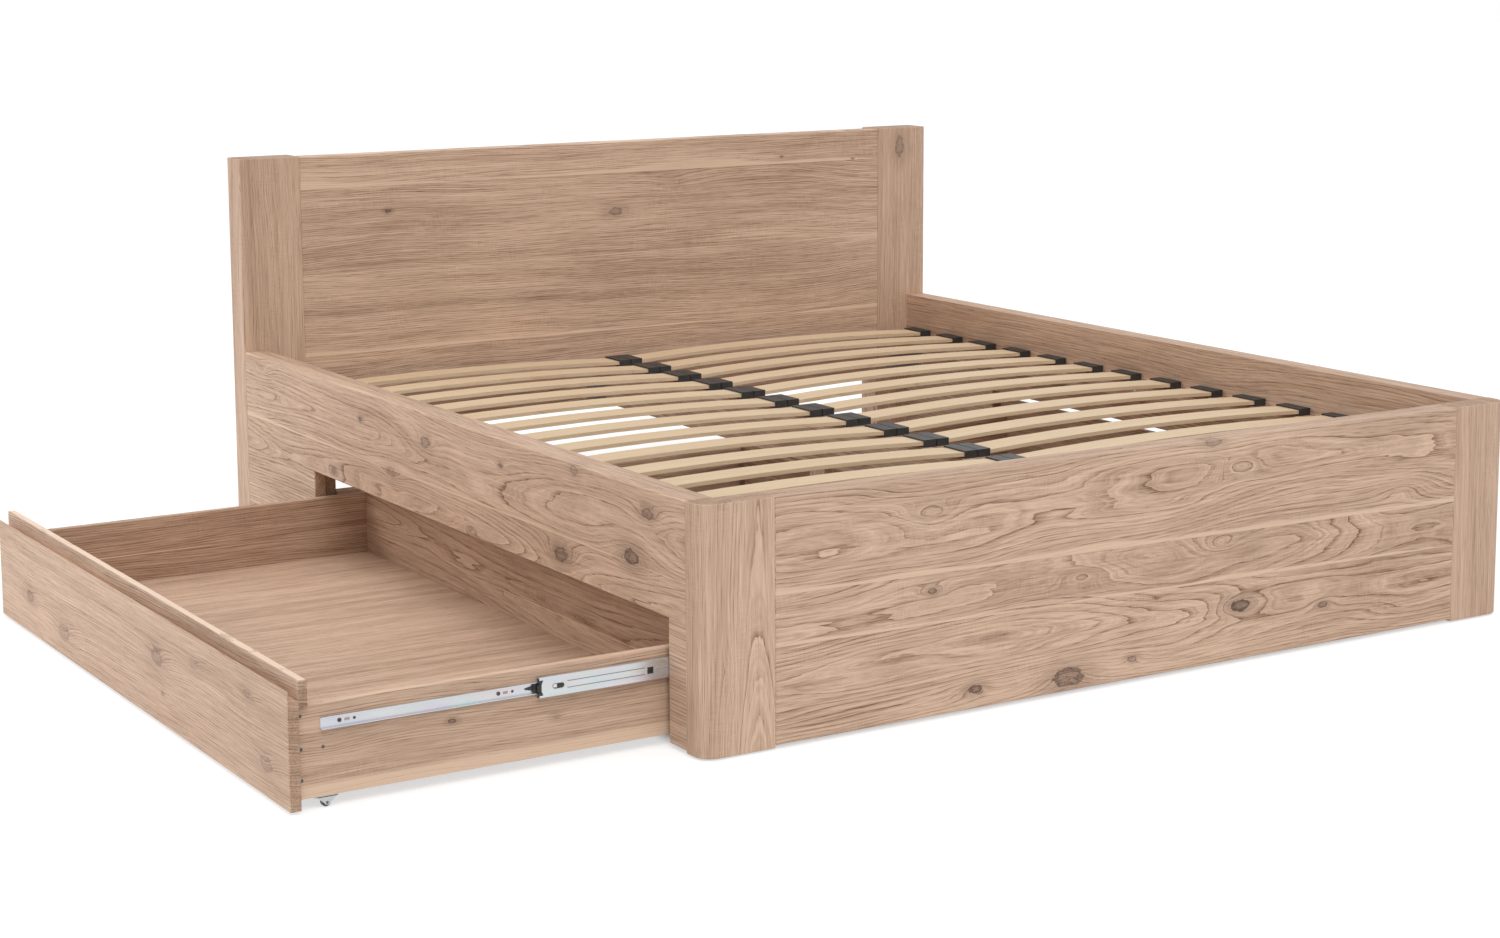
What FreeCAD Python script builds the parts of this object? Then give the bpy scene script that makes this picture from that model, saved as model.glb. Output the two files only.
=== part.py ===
"""Oak bed frame with a well of 1800 x 2000 mm, and two long drawers under it.

Row frame: +X across the bed, +Y towards the headboard, +Z up, millimetres.
The origin is on the floor under the centre leg. The left drawer (-X) stands open,
pulled out over its full travel, and the right drawer (+X) is shut.
"""
import FreeCAD, Part
import os
import re
import Sketcher

# Driving dimensions, one cell each
SIZES = {
    # The well between the rails
    "well_width": 1800, "well_length": 2000, "well_play": 5,
    # Rails: an outer board with a liner glued behind it
    "rail_board": 25, "liner_board": 28, "rail_top": 445, "board_clearance": 8,
    "foot_leg_width": 58.5, "head_leg_width": 391.5, "opening_top": 230, "liner_reveal": 9,
    "rail_round": 4,
    # Headboard
    "headboard_height": 890, "head_post_width": 148, "head_post_depth": 75,
    "headboard_panel_thickness": 55, "headboard_panel_bottom": 230, "panel_drop": 2,
    # Foot end
    "foot_post_width": 146, "foot_post_depth": 55, "foot_post_round": 34,
    "foot_panel_board": 27, "foot_panel_drop": 1, "foot_liner_bottom": 230, "arris": 1.5,
    # Slatted base
    "ledge_width": 40, "ledge_height": 40, "ledge_top": 345,
    "beam_width": 70, "beam_height": 100, "beam_end_play": 0.3,
    "slat_width": 68, "slat_thickness": 8, "slat_crown": 12, "slat_count": 14,
    "holder_length": 30, "holder_wall": 3, "holder_floor": 3, "holder_play": 2,
    "holder_edge_gap": 1,
    # Centre leg, its round foot, and the square pads under posts and drawer carriers
    "centre_leg_side": 60, "centre_foot_radius": 20, "centre_foot_height": 8,
    "post_pad_side": 32, "post_pad_height": 3,
    "carrier_pad_side": 20, "carrier_pad_offset": 320,
    # Steel at the corners and under the beam's ends
    "bracket_leg": 62, "bracket_height": 56, "bracket_sheet": 3, "bracket_bottom": 244,
    "bracket_bolt_offset": 38,
    "hanger_length": 46, "hanger_height": 62, "hanger_play": 0.3, "hanger_ear": 26,
    "bolt_radius": 4, "bolt_head_radius": 7.5, "bolt_head_height": 5, "bolt_depth": 24,
    "hole_play": 0.25,
    # Drawer boards
    "drawer_front_thickness": 20, "drawer_front_bottom": 5, "drawer_front_top": 204,
    "drawer_front_gap": 1.5, "cove_radius": 18,
    "inner_front_thickness": 15, "inner_front_top": 220,
    "drawer_side_thickness": 18, "drawer_side_bottom": 20, "drawer_side_top": 175,
    "drawer_centre_gap": 135, "drawer_back_thickness": 15,
    "drawer_bottom_thickness": 12, "drawer_bottom_low": 31, "groove_depth": 8,
    "groove_play": 0.3,
    # Boards that carry the slides
    "carrier_board": 25, "carrier_top": 180, "carrier_setback": 0.5,
    "cleat_side": 30, "cleat_inset": 12,
    # Ball-bearing slides, three members each
    "slide_back_gap": 63, "slide_height": 142, "slide_space": 12.7, "slide_setback": 2,
    "outer_half": 22.85, "outer_sheet": 1.2, "outer_lip": 1.6,
    "outer_edge_gap": 1, "web_gap": 0.6, "member_bevel": 1,
    "mid_half": 17.8, "mid_sheet": 1.2, "mid_race": 2, "mid_depth": 8.4,
    "mid_setback": 45, "mid_back_gap": 15,
    "inner_half": 10.2, "inner_sheet": 1.2, "inner_depth": 6.7, "inner_setback": 5,
    # Ball cages
    "ball_gap": 0.3, "ball_corner_share": 1.0824, "ball_hole_play": 0.1, "cage_sheet": 0.8,
    "balls_in_row": 3,
    "outer_cage_length": 200, "outer_cage_inset": 8, "outer_cage_width": 7,
    "inner_cage_length": 150, "inner_cage_inset": 16, "cage_margin": 12,
    # Holes in the slide members
    "screw_hole_radius": 2.6, "screw_slot_length": 9, "screw_slot_height": 4.4,
    "near_group": 33, "far_group": 318, "screw_hole_pitch": 13,
    "mid_slot_start": 24, "mid_slot_length": 24, "mid_slot_height": 11,
    "mid_window_start": 208, "mid_window_side": 12,
    # Release lever and front bumper
    "lever_start": 427, "lever_length": 23, "lever_tip": 2, "lever_height": 8,
    "lever_tab": 9, "lever_tab_height": 16, "lever_blade": 1.8, "lever_rise": 4.6,
    "bumper_length": 18, "bumper_overhang": 4, "bumper_thickness": 2, "bumper_waist": 7,
    # Rollers under the drawer
    "roller_setback": 49, "roller_plate_length": 41, "roller_plate": 2.5, "roller_width": 17,
    "roller_cheek_length": 22, "roller_floor_gap": 4, "wheel_radius": 8, "wheel_width": 9,
    "axle_radius": 1.5, "axle_play": 0.05, "wheel_side_play": 0.6,
    # One overrun for every cut
    "overrun": 5,
}

# Places worked out from the driving dimensions
PLACES = {
    "half_well": "well_width / 2 + well_play",
    "rail_thickness": "rail_board + liner_board",
    "half_width": "half_well + rail_thickness",
    "half_outer": "(head_post_depth + well_length + foot_post_depth) / 2",
    "head_face": "half_outer - head_post_depth",
    "foot_face": "foot_post_depth - half_outer",
    "panel_top": "headboard_height - panel_drop",
    "foot_panel_back": "foot_panel_board - half_outer",
    "foot_panel_top": "rail_top - foot_panel_drop",
    "opening_foot": "foot_face + foot_leg_width",
    "opening_head": "head_face - head_leg_width",
    "carrier_foot": "opening_foot - carrier_setback",
    "carrier_head": "opening_head + carrier_setback",
    "side_foot": "carrier_foot + slide_space",
    "side_head": "carrier_head - slide_space",
    "front_foot": "opening_foot + drawer_front_gap",
    "front_head": "opening_head - drawer_front_gap",
    "beam_bottom": "ledge_top - beam_height",
    "slat_pitch": "well_length / slat_count",
    "slat_outer": "half_well - holder_edge_gap - holder_wall",
    "slat_inner": "holder_edge_gap + holder_wall",
    "slat_half": "(slat_outer - slat_inner) / 2",
    "slat_bottom": "ledge_top + holder_floor",
    "holder_half": "(slat_width + holder_play) / 2 + holder_wall",
    "holder_top": "slat_bottom + slat_thickness + holder_play + holder_wall",
    "box_inside": "drawer_front_thickness + inner_front_thickness",
    "drawer_side_length": "half_width - drawer_front_thickness - drawer_centre_gap",
    "box_end": "drawer_front_thickness + drawer_side_length",
    "box_back": "box_end - drawer_back_thickness",
    "inner_side_foot": "side_foot + drawer_side_thickness",
    "inner_side_head": "side_head - drawer_side_thickness",
    "bottom_top": "drawer_bottom_low + drawer_bottom_thickness",
    "tongue": "groove_depth - groove_play",
    "outer_start": "rail_thickness + slide_setback",
    "inner_start": "outer_start + inner_setback",
    "slide_length": "box_end - inner_start - slide_back_gap",
    "slide_travel": "slide_length",
    "mid_start": "outer_start + mid_setback",
    "mid_length": "slide_length - mid_setback - mid_back_gap",
    "mid_web": "outer_sheet + web_gap",
    "outer_depth": "slide_space - outer_edge_gap",
    "outer_ball": "(outer_half - outer_sheet - mid_half) / 2 - ball_gap",
    "outer_ball_height": "(outer_half - outer_sheet + mid_half) / 2",
    "outer_ball_depth": "mid_web + mid_depth / 2",
    "inner_tip": "slide_space - inner_depth",
    "inner_ball": "(mid_half - mid_race - inner_half) / 2 - ball_gap",
    "inner_ball_height": "(mid_half - mid_race + inner_half) / 2",
    "inner_ball_depth": "inner_tip + inner_ball + ball_gap / 2",
    "cage_web": "mid_web + mid_sheet + web_gap",
    "outer_cage_start": "outer_start + slide_travel / 4 + outer_cage_inset",
    "inner_cage_start": "mid_start + slide_travel / 4 + inner_cage_inset",
    "roller_place": "drawer_front_thickness + roller_setback",
}

# How far each sliding group stands out of the left side, as shares of the drawer's travel
DRAWER_OUT = "slide_travel"
MID_OUT = "slide_travel / 2"
OUTER_CAGE_OUT = "slide_travel / 4"
INNER_CAGE_OUT = "slide_travel * 3 / 4"

# Corners of a hexagon, as shares of its corner radius and of its half width over flats
HEXAGON_SHARES = [(1, 0), (0.5, 1), (-0.5, 1), (-1, 0), (-0.5, -1), (0.5, -1)]
# A ball's two bars: sides, and how each is turned so that its flats face along the axes
BALL_SIDES = 8
HALF_SIDE_TURN = FreeCAD.Rotation(FreeCAD.Vector(0, 0, 1), 180 / BALL_SIDES)
UPRIGHT_BAR = HALF_SIDE_TURN
LYING_BAR = FreeCAD.Rotation(FreeCAD.Vector(0, 1, 0), 90) * HALF_SIDE_TURN
# How close two numbers are that count as the same place
MATCH = 0.001

doc = FreeCAD.newDocument("bed_frame")
parts = {}


def spell(formula):
    """Put the sheet's name before each named size or place in a formula."""
    def with_sheet(match):
        word = match.group(0)
        sheet = "Sizes." if word in SIZES else "Places." if word in PLACES else ""
        return sheet + word
    return re.sub(r"[a-z][a-z_]*", with_sheet, str(formula))


def fill_sheet(name, cells):
    sheet = doc.addObject("Spreadsheet::Sheet", name)
    for row, (word, content) in enumerate(cells.items(), start=1):
        sheet.set(f"A{row}", content)
        sheet.setAlias(f"A{row}", word)


fill_sheet("Sizes", {word: str(size) for word, size in SIZES.items()})
fill_sheet("Places", {word: "=" + spell(formula) for word, formula in PLACES.items()})
doc.recompute()


def value(formula):
    """The present number of a formula, for a sketch's first guess or to find an edge."""
    return float(doc.Sizes.evalExpression(spell(formula)))


def new_body(label):
    body = doc.addObject("PartDesign::Body", label)
    body.Label = label
    body.AllowCompound = True
    return body


def origin_item(body, role):
    return next(item for item in body.Origin.OriginFeatures if item.Role == role)


def sketch_on(body, plane, low, high):
    """An empty sketch parallel to an origin plane, at the start of the span from low to high."""
    sketch = body.newObject("Sketcher::SketchObject", "Outline")
    sketch.AttachmentSupport = (origin_item(body, f"{plane}_Plane"), [""])
    sketch.MapMode = "FlatFace"
    start = f"-({high})" if plane == "XZ" else low
    sketch.setExpression("AttachmentOffset.Base.z", spell(start))
    return sketch


def pin(sketch, kind, edge, point, formula):
    """Tie one coordinate of a sketch point to a formula."""
    index = sketch.addConstraint(Sketcher.Constraint(kind, -1, 1, edge, point, value(formula)))
    sketch.setExpression(f"Constraints[{index}]", spell(formula))


def pin_radius(sketch, edge, formula):
    index = sketch.addConstraint(Sketcher.Constraint("Radius", edge, value(formula)))
    sketch.setExpression(f"Constraints[{index}]", spell(formula))


def arc_middle(start, end, radius, turn):
    """The middle of an arc that bulges to the left (1) or right (-1) of its chord."""
    chord = end - start
    half = chord.Length / 2
    rise = radius - (radius ** 2 - half ** 2) ** 0.5
    left = FreeCAD.Vector(-chord.y, chord.x, 0).normalize()
    return (start + end) / 2 + left * rise * turn


def draw_outline(sketch, points):
    """A closed outline. Each corner is two formulas; two more make the next edge an arc."""
    spots = [FreeCAD.Vector(value(corner[0]), value(corner[1]), 0) for corner in points]
    ends = []
    for number, corner in enumerate(points):
        start, end = spots[number], spots[(number + 1) % len(spots)]
        if len(corner) == 2:
            sketch.addGeometry(Part.LineSegment(start, end))
            ends.append((1, 2))
        else:
            middle = arc_middle(start, end, value(corner[2]), corner[3])
            sketch.addGeometry(Part.Arc(start, middle, end))
            ends.append((2, 1) if corner[3] > 0 else (1, 2))
    for number in range(len(points)):
        after = (number + 1) % len(points)
        sketch.addConstraint(
            Sketcher.Constraint("Coincident", number, ends[number][1], after, ends[after][0]))
    for number, corner in enumerate(points):
        pin(sketch, "DistanceX", number, ends[number][0], corner[0])
        pin(sketch, "DistanceY", number, ends[number][0], corner[1])
        if len(corner) > 2:
            pin_radius(sketch, number, corner[2])


def draw_circle(sketch, across, up, radius):
    centre = FreeCAD.Vector(value(across), value(up), 0)
    edge = sketch.addGeometry(Part.Circle(centre, FreeCAD.Vector(0, 0, 1), value(radius)))
    pin(sketch, "DistanceX", edge, 3, across)
    pin(sketch, "DistanceY", edge, 3, up)
    pin_radius(sketch, edge, radius)


def add(body, plane, low, high, points=None, circles=()):
    """Pad an outline, circles or both from low to high along the plane's third axis."""
    sketch = sketch_on(body, plane, low, high)
    if points:
        draw_outline(sketch, points)
    for circle in circles:
        draw_circle(sketch, *circle)
    pad = body.newObject("PartDesign::Pad", "Pad")
    pad.Profile = sketch
    pad.setExpression("Length", spell(f"({high}) - ({low})"))
    doc.recompute()
    return body


def cut(body, plane, low, high, points=None, circles=()):
    """Pocket an outline, circles or both out of a body, and check that it bit."""
    before = body.Shape.Volume
    sketch = sketch_on(body, plane, low, high)
    if points:
        draw_outline(sketch, points)
    for circle in circles:
        draw_circle(sketch, *circle)
    pocket = body.newObject("PartDesign::Pocket", "Pocket")
    pocket.Profile = sketch
    pocket.Reversed = True
    pocket.setExpression("Length", spell(f"({high}) - ({low})"))
    doc.recompute()
    if not body.Shape.Volume < before:
        raise RuntimeError(f"{body.Label}: a pocket cuts nothing")
    return body


def dress(body, kind, size, test):
    """Fillet or chamfer the edges whose middle, and whose direction if straight, pass a test."""
    edges = []
    for number, edge in enumerate(body.Shape.Edges, start=1):
        straight = edge.Curve.TypeId == "Part::GeomLine"
        along = edge.Curve.Direction if straight else None
        if test(edge.CenterOfMass, along):
            edges.append(f"Edge{number}")
    if not edges:
        raise RuntimeError(f"{body.Label}: no edge to dress")
    base = body.Tip
    feature = body.newObject(f"PartDesign::{kind}", kind)
    feature.Base = (base, edges)
    feature.setExpression("Radius" if kind == "Fillet" else "Size", spell(size))
    doc.recompute()
    return body


def at(number, formula):
    return abs(number - value(formula)) < MATCH


def rectangle(x_low, x_high, y_low, y_high):
    return [(x_low, y_low), (x_high, y_low), (x_high, y_high), (x_low, y_high)]


def around(x, y, half):
    """A square, given its middle and half its side."""
    return rectangle(f"{x} - {half}", f"{x} + {half}", f"{y} - {half}", f"{y} + {half}")


def board(label, x_low, x_high, y_low, y_high, z_low, z_high):
    """A straight board with square edges."""
    return add(new_body(label), "XY", z_low, z_high, rectangle(x_low, x_high, y_low, y_high))


def eased_board(*place):
    """A board whose edges are all eased."""
    return dress(board(*place), "Chamfer", "arris", lambda middle, along: True)


def behind(depth, out="0"):
    """X of a point at a depth behind the left rail's outer face, on a group that stands out."""
    return f"({depth}) - half_width - ({out})"


def mirrored(label, source, out="0"):
    """The right side's copy of a left piece, pushed in by what the left one stands out."""
    copy = doc.addObject("Part::Mirroring", label)
    copy.Label = label
    copy.Source = source
    copy.Normal = (1, 0, 0)
    doc.recompute()
    copy.setExpression("Placement.Base.x", spell(f"-({out})"))
    doc.recompute()
    return copy


def group(label, members):
    """Alike solids that share one node."""
    compound = doc.addObject("Part::Compound", label)
    compound.Label = label
    compound.Links = members
    doc.recompute()
    return compound


def keep(*pieces):
    for piece in pieces:
        parts[piece.Label] = piece


def keep_both(piece, out="0"):
    """Keep a left piece, and its mirrored copy on the right."""
    keep(piece, mirrored(piece.Label.replace("left", "right"), piece, out))


def make_headboard():
    """A wide panel between two posts, flush in front; the posts stand a little prouder on top."""
    inner = "head_post_width - half_width"
    panel = eased_board(
        "headboard_panel", inner, f"-({inner})", "head_face",
        "head_face + headboard_panel_thickness", "headboard_panel_bottom", "panel_top")
    bolt_holes(panel, "XZ", "head_face", "head_face + bolt_depth", hanger_bolts())
    post = eased_board("head_post_left", "-half_width", inner, "head_face", "half_outer",
                       "post_pad_height", "headboard_height")
    bolt_holes(post, "XZ", "head_face", "head_face + bolt_depth", [bracket_bolt_x()])
    keep(panel)
    keep_both(post)


def bracket_bolt_x():
    """X and Z of the bolt that holds a left corner bracket to a post."""
    return "bracket_bolt_offset - half_well", "bracket_bottom + bracket_height / 2"


def hanger_bolts():
    """X and Z of the two bolts of a beam hanger."""
    out = "beam_width / 2 + hanger_play + bracket_sheet + hanger_ear / 2"
    up = "beam_bottom - bracket_sheet + hanger_height / 2"
    return [(f"-({out})", up), (out, up)]


def hexagon(across, up, radius):
    """A bolt's head, shank or hole, given the radius to its corners."""
    return [(f"{across} + {x} * {radius}", f"{up} + {z} * {radius} * sqrt(3) / 2")
            for x, z in HEXAGON_SHARES]


def bolt_holes(body, plane, low, high, spots):
    for across, up in spots:
        cut(body, plane, low, high, hexagon(across, up, "(bolt_radius + hole_play)"))


def make_foot_end():
    """Posts with one big rounded corner, and a panel with a liner behind its upper half."""
    inner = "foot_post_width - half_width"
    post = board("foot_post_left", "-half_width", inner, "-half_outer", "foot_face",
                 "post_pad_height", "rail_top")
    dress(post, "Fillet", "foot_post_round",
          lambda middle, along: at(middle.x, "-half_width") and at(middle.y, "-half_outer"))
    dress(post, "Chamfer", "arris",
          lambda middle, along: at(middle.z, "rail_top") or at(middle.z, "post_pad_height")
          or at(middle.x, inner))
    bolt_holes(post, "XZ", "foot_face - bolt_depth", "foot_face", [bracket_bolt_x()])
    panel = eased_board("foot_panel", inner, f"-({inner})", "-half_outer", "foot_panel_back",
                        "board_clearance", "foot_panel_top")
    liner = eased_board("foot_liner", inner, f"-({inner})", "foot_panel_back", "foot_face",
                        "foot_liner_bottom", "foot_panel_top")
    bolt_holes(liner, "XZ", "foot_face - bolt_depth", "foot_face", hanger_bolts())
    keep(panel, liner)
    keep_both(post)


def arch(reveal):
    """Outline of a rail board: an upside-down U, its cut-out larger by the reveal all round."""
    foot, head, top = f"opening_foot - {reveal}", f"opening_head + {reveal}", f"opening_top + {reveal}"
    return [("foot_face", "rail_top"), ("head_face", "rail_top"),
            ("head_face", "board_clearance"), (head, "board_clearance"), (head, top),
            (foot, top), (foot, "board_clearance"), ("foot_face", "board_clearance")]


def make_rails():
    rail = add(new_body("side_rail_left"), "YZ", behind("0"), behind("rail_board"), arch("0"))
    dress(rail, "Fillet", "rail_round",
          lambda middle, along: at(middle.x, "-half_width") and at(middle.z, "rail_top"))
    dress(rail, "Chamfer", "arris",
          lambda middle, along: at(middle.x, "-half_width") and middle.z < value("rail_top")
          and along is not None and abs(along.x) < MATCH)
    liner = add(new_body("rail_liner_left"), "YZ", behind("rail_board"),
                behind("rail_thickness"), arch("liner_reveal"))
    up = "bracket_bottom + bracket_height / 2"
    bolt_holes(liner, "YZ", "-half_well - bolt_depth", "-half_well",
               [("foot_face + bracket_bolt_offset", up), ("head_face - bracket_bolt_offset", up)])
    ledge = eased_board("slat_ledge_left", "-half_well", "ledge_width - half_well",
                        "foot_face", "head_face", "ledge_top - ledge_height", "ledge_top")
    for piece in (rail, liner, ledge):
        keep_both(piece)


def make_beam():
    """The centre beam sits in a steel hanger at each end and on a leg in the middle."""
    beam = eased_board("centre_beam", "-beam_width / 2", "beam_width / 2",
                       "foot_face + bracket_sheet + beam_end_play",
                       "head_face - bracket_sheet - beam_end_play", "beam_bottom", "ledge_top")
    leg = eased_board("centre_leg", "-centre_leg_side / 2", "centre_leg_side / 2",
                      "-centre_leg_side / 2", "centre_leg_side / 2",
                      "centre_foot_height", "beam_bottom")
    keep(beam, leg, group("beam_hangers", [
        make_hanger("foot_face", "foot_face + bracket_sheet", "foot_face + hanger_length",
                    "foot_face"),
        make_hanger("head_face - bracket_sheet", "head_face", "head_face",
                    "head_face - hanger_length")]))


def make_hanger(plate_low, plate_high, y_high, y_low):
    """A folded stirrup: a plate with two ears, and a shelf with two cheeks that hold the beam."""
    inside = "beam_width / 2 + hanger_play"
    outside = f"{inside} + bracket_sheet"
    floor, low = "beam_bottom", "beam_bottom - bracket_sheet"
    top = f"{low} + hanger_height"
    stirrup = [(f"-({outside})", low), (outside, low), (outside, top), (inside, top),
               (inside, floor), (f"-({inside})", floor), (f"-({inside})", top),
               (f"-({outside})", top)]
    ear = f"{outside} + hanger_ear"
    hanger = add(new_body("hanger"), "XZ", y_low, y_high, stirrup)
    add(hanger, "XZ", plate_low, plate_high, rectangle(f"-({ear})", ear, low, top))
    bolt_holes(hanger, "XZ", plate_low, plate_high, hanger_bolts())
    return hanger


def make_brackets():
    """A folded steel angle in each inner corner, bolted to the rail liner and to the post."""
    top = "bracket_bottom + bracket_height"
    up = "bracket_bottom + bracket_height / 2"
    angles = []
    for wall, way in (("foot_face", 1), ("head_face", -1)):
        outline = [("-half_well", wall),
                   ("bracket_leg - half_well", wall),
                   ("bracket_leg - half_well", f"{wall} + {way} * bracket_sheet"),
                   ("bracket_sheet - half_well", f"{wall} + {way} * bracket_sheet"),
                   ("bracket_sheet - half_well", f"{wall} + {way} * bracket_leg"),
                   ("-half_well", f"{wall} + {way} * bracket_leg")]
        angle = add(new_body("angle"), "XY", "bracket_bottom", top, outline)
        sheet = sorted((wall, f"{wall} + {way} * bracket_sheet"), key=value)
        bolt_holes(angle, "XZ", *sheet, [bracket_bolt_x()])
        bolt_holes(angle, "YZ", "-half_well", "bracket_sheet - half_well",
                   [(f"{wall} + {way} * bracket_bolt_offset", up)])
        angles.append(angle)
    keep(group("corner_brackets", angles + [mirrored("angle_right", angle) for angle in angles]))


def make_bolt(plane, face, way, across, up):
    """A bolt with its head on a steel face and its shank in the wood."""
    shank_end = f"{face} - {way} * (bracket_sheet + bolt_depth)"
    head_end = f"{face} + {way} * bolt_head_height"
    bolt = add(new_body("bolt"), plane, *sorted((shank_end, face), key=value),
               hexagon(across, up, "bolt_radius"))
    return add(bolt, plane, *sorted((face, head_end), key=value),
               hexagon(across, up, "bolt_head_radius"))


def make_bolts():
    up = "bracket_bottom + bracket_height / 2"
    bolts = []
    for wall, way in (("foot_face", 1), ("head_face", -1)):
        steel = f"{wall} + {way} * bracket_sheet"
        side = [make_bolt("XZ", steel, way, *bracket_bolt_x()),
                make_bolt("YZ", "bracket_sheet - half_well", 1,
                          f"{wall} + {way} * bracket_bolt_offset", up)]
        bolts += side + [mirrored("bolt_right", bolt) for bolt in side]
        bolts += [make_bolt("XZ", steel, way, *spot) for spot in hanger_bolts()]
    keep(group("frame_bolts", bolts))


def make_slats():
    """Crowned slats in two rows, each end in a holder on the ledge or on the centre beam."""
    crown_radius = "(slat_half * slat_half + slat_crown * slat_crown) / (2 * slat_crown)"
    outer, inner = "-slat_outer", "-slat_inner"
    top = "slat_bottom + slat_thickness"
    first = "foot_face + slat_pitch / 2"
    outline = [(outer, "slat_bottom", crown_radius, 1), (inner, "slat_bottom"),
               (inner, top, f"{crown_radius} + slat_thickness", -1), (outer, top)]
    row = add(new_body("slat_row"), "XZ", f"{first} - slat_width / 2",
              f"{first} + slat_width / 2", outline)
    repeat_along_bed(row)
    keep(group("bed_slats", [row, mirrored("slat_row_right", row)]))

    ends = []
    for face, way in (("holder_edge_gap - half_well", 1), ("-holder_edge_gap", -1)):
        far = f"{face} + {way} * holder_length"
        wall = f"{face} + {way} * holder_wall"
        holder = add(new_body("holder_row"), "XY", "ledge_top", "holder_top",
                     rectangle(*sorted((face, far), key=value),
                               f"{first} - holder_half", f"{first} + holder_half"))
        cut(holder, "YZ", *sorted((wall, f"{far} + {way} * overrun"), key=value),
            rectangle(f"{first} - holder_half + holder_wall",
                      f"{first} + holder_half - holder_wall",
                      "slat_bottom", "holder_top - holder_wall"))
        repeat_along_bed(holder)
        ends.append(holder)
    keep(group("slat_holders", ends + [mirrored("holder_row_right", row) for row in ends]))


def repeat_along_bed(body):
    """Repeat a body's pads and pockets, one for each slat."""
    repeat = body.newObject("PartDesign::LinearPattern", "Row")
    repeat.Originals = [item for item in body.Group
                        if item.TypeId in ("PartDesign::Pad", "PartDesign::Pocket")]
    repeat.Direction = (origin_item(body, "Y_Axis"), [""])
    repeat.setExpression("Length", spell("slat_pitch * (slat_count - 1)"))
    repeat.setExpression("Occurrences", spell("slat_count"))
    body.Tip = repeat
    doc.recompute()


def make_glides():
    """A round foot under the centre leg, and pads under the posts and the drawer carriers."""
    glides = [add(new_body("foot"), "XY", "0", "centre_foot_height",
                  circles=[("0", "0", "centre_foot_radius")])]
    for side in (-1, 1):
        spots = [
            (f"{side} * (half_width - foot_post_width / 2)", "foot_face - foot_post_depth / 2",
             "post_pad_side", "post_pad_height"),
            (f"{side} * (half_width - head_post_width / 2)", "half_outer - head_post_depth / 2",
             "post_pad_side", "post_pad_height"),
            (f"{side} * carrier_pad_offset", "carrier_foot - carrier_board / 2",
             "carrier_pad_side", "board_clearance"),
            (f"{side} * carrier_pad_offset", "carrier_head + carrier_board / 2",
             "carrier_pad_side", "board_clearance")]
        for x, y, width, height in spots:
            glides.append(add(new_body("pad"), "XY", "0", height, around(x, y, f"{width} / 2")))
    keep(group("floor_glides", glides))


def make_carriers():
    """Boards on edge across the bed, which carry the slides, with cleats in the rail corners."""
    cleats = []
    for end, face, way in (("foot", "carrier_foot", -1), ("head", "carrier_head", 1)):
        back = f"{face} + {way} * carrier_board"
        keep(eased_board(f"runner_board_{end}", "-half_well", "half_well",
                         *sorted((face, back), key=value), "board_clearance", "carrier_top"))
        cleats.append(board("cleat", "-half_well", "cleat_side - half_well",
                            *sorted((back, f"{back} + {way} * cleat_side"), key=value),
                            "board_clearance + cleat_inset", "carrier_top - cleat_inset"))
    keep(group("runner_cleats", cleats + [mirrored("cleat_right", cleat) for cleat in cleats]))


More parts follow.
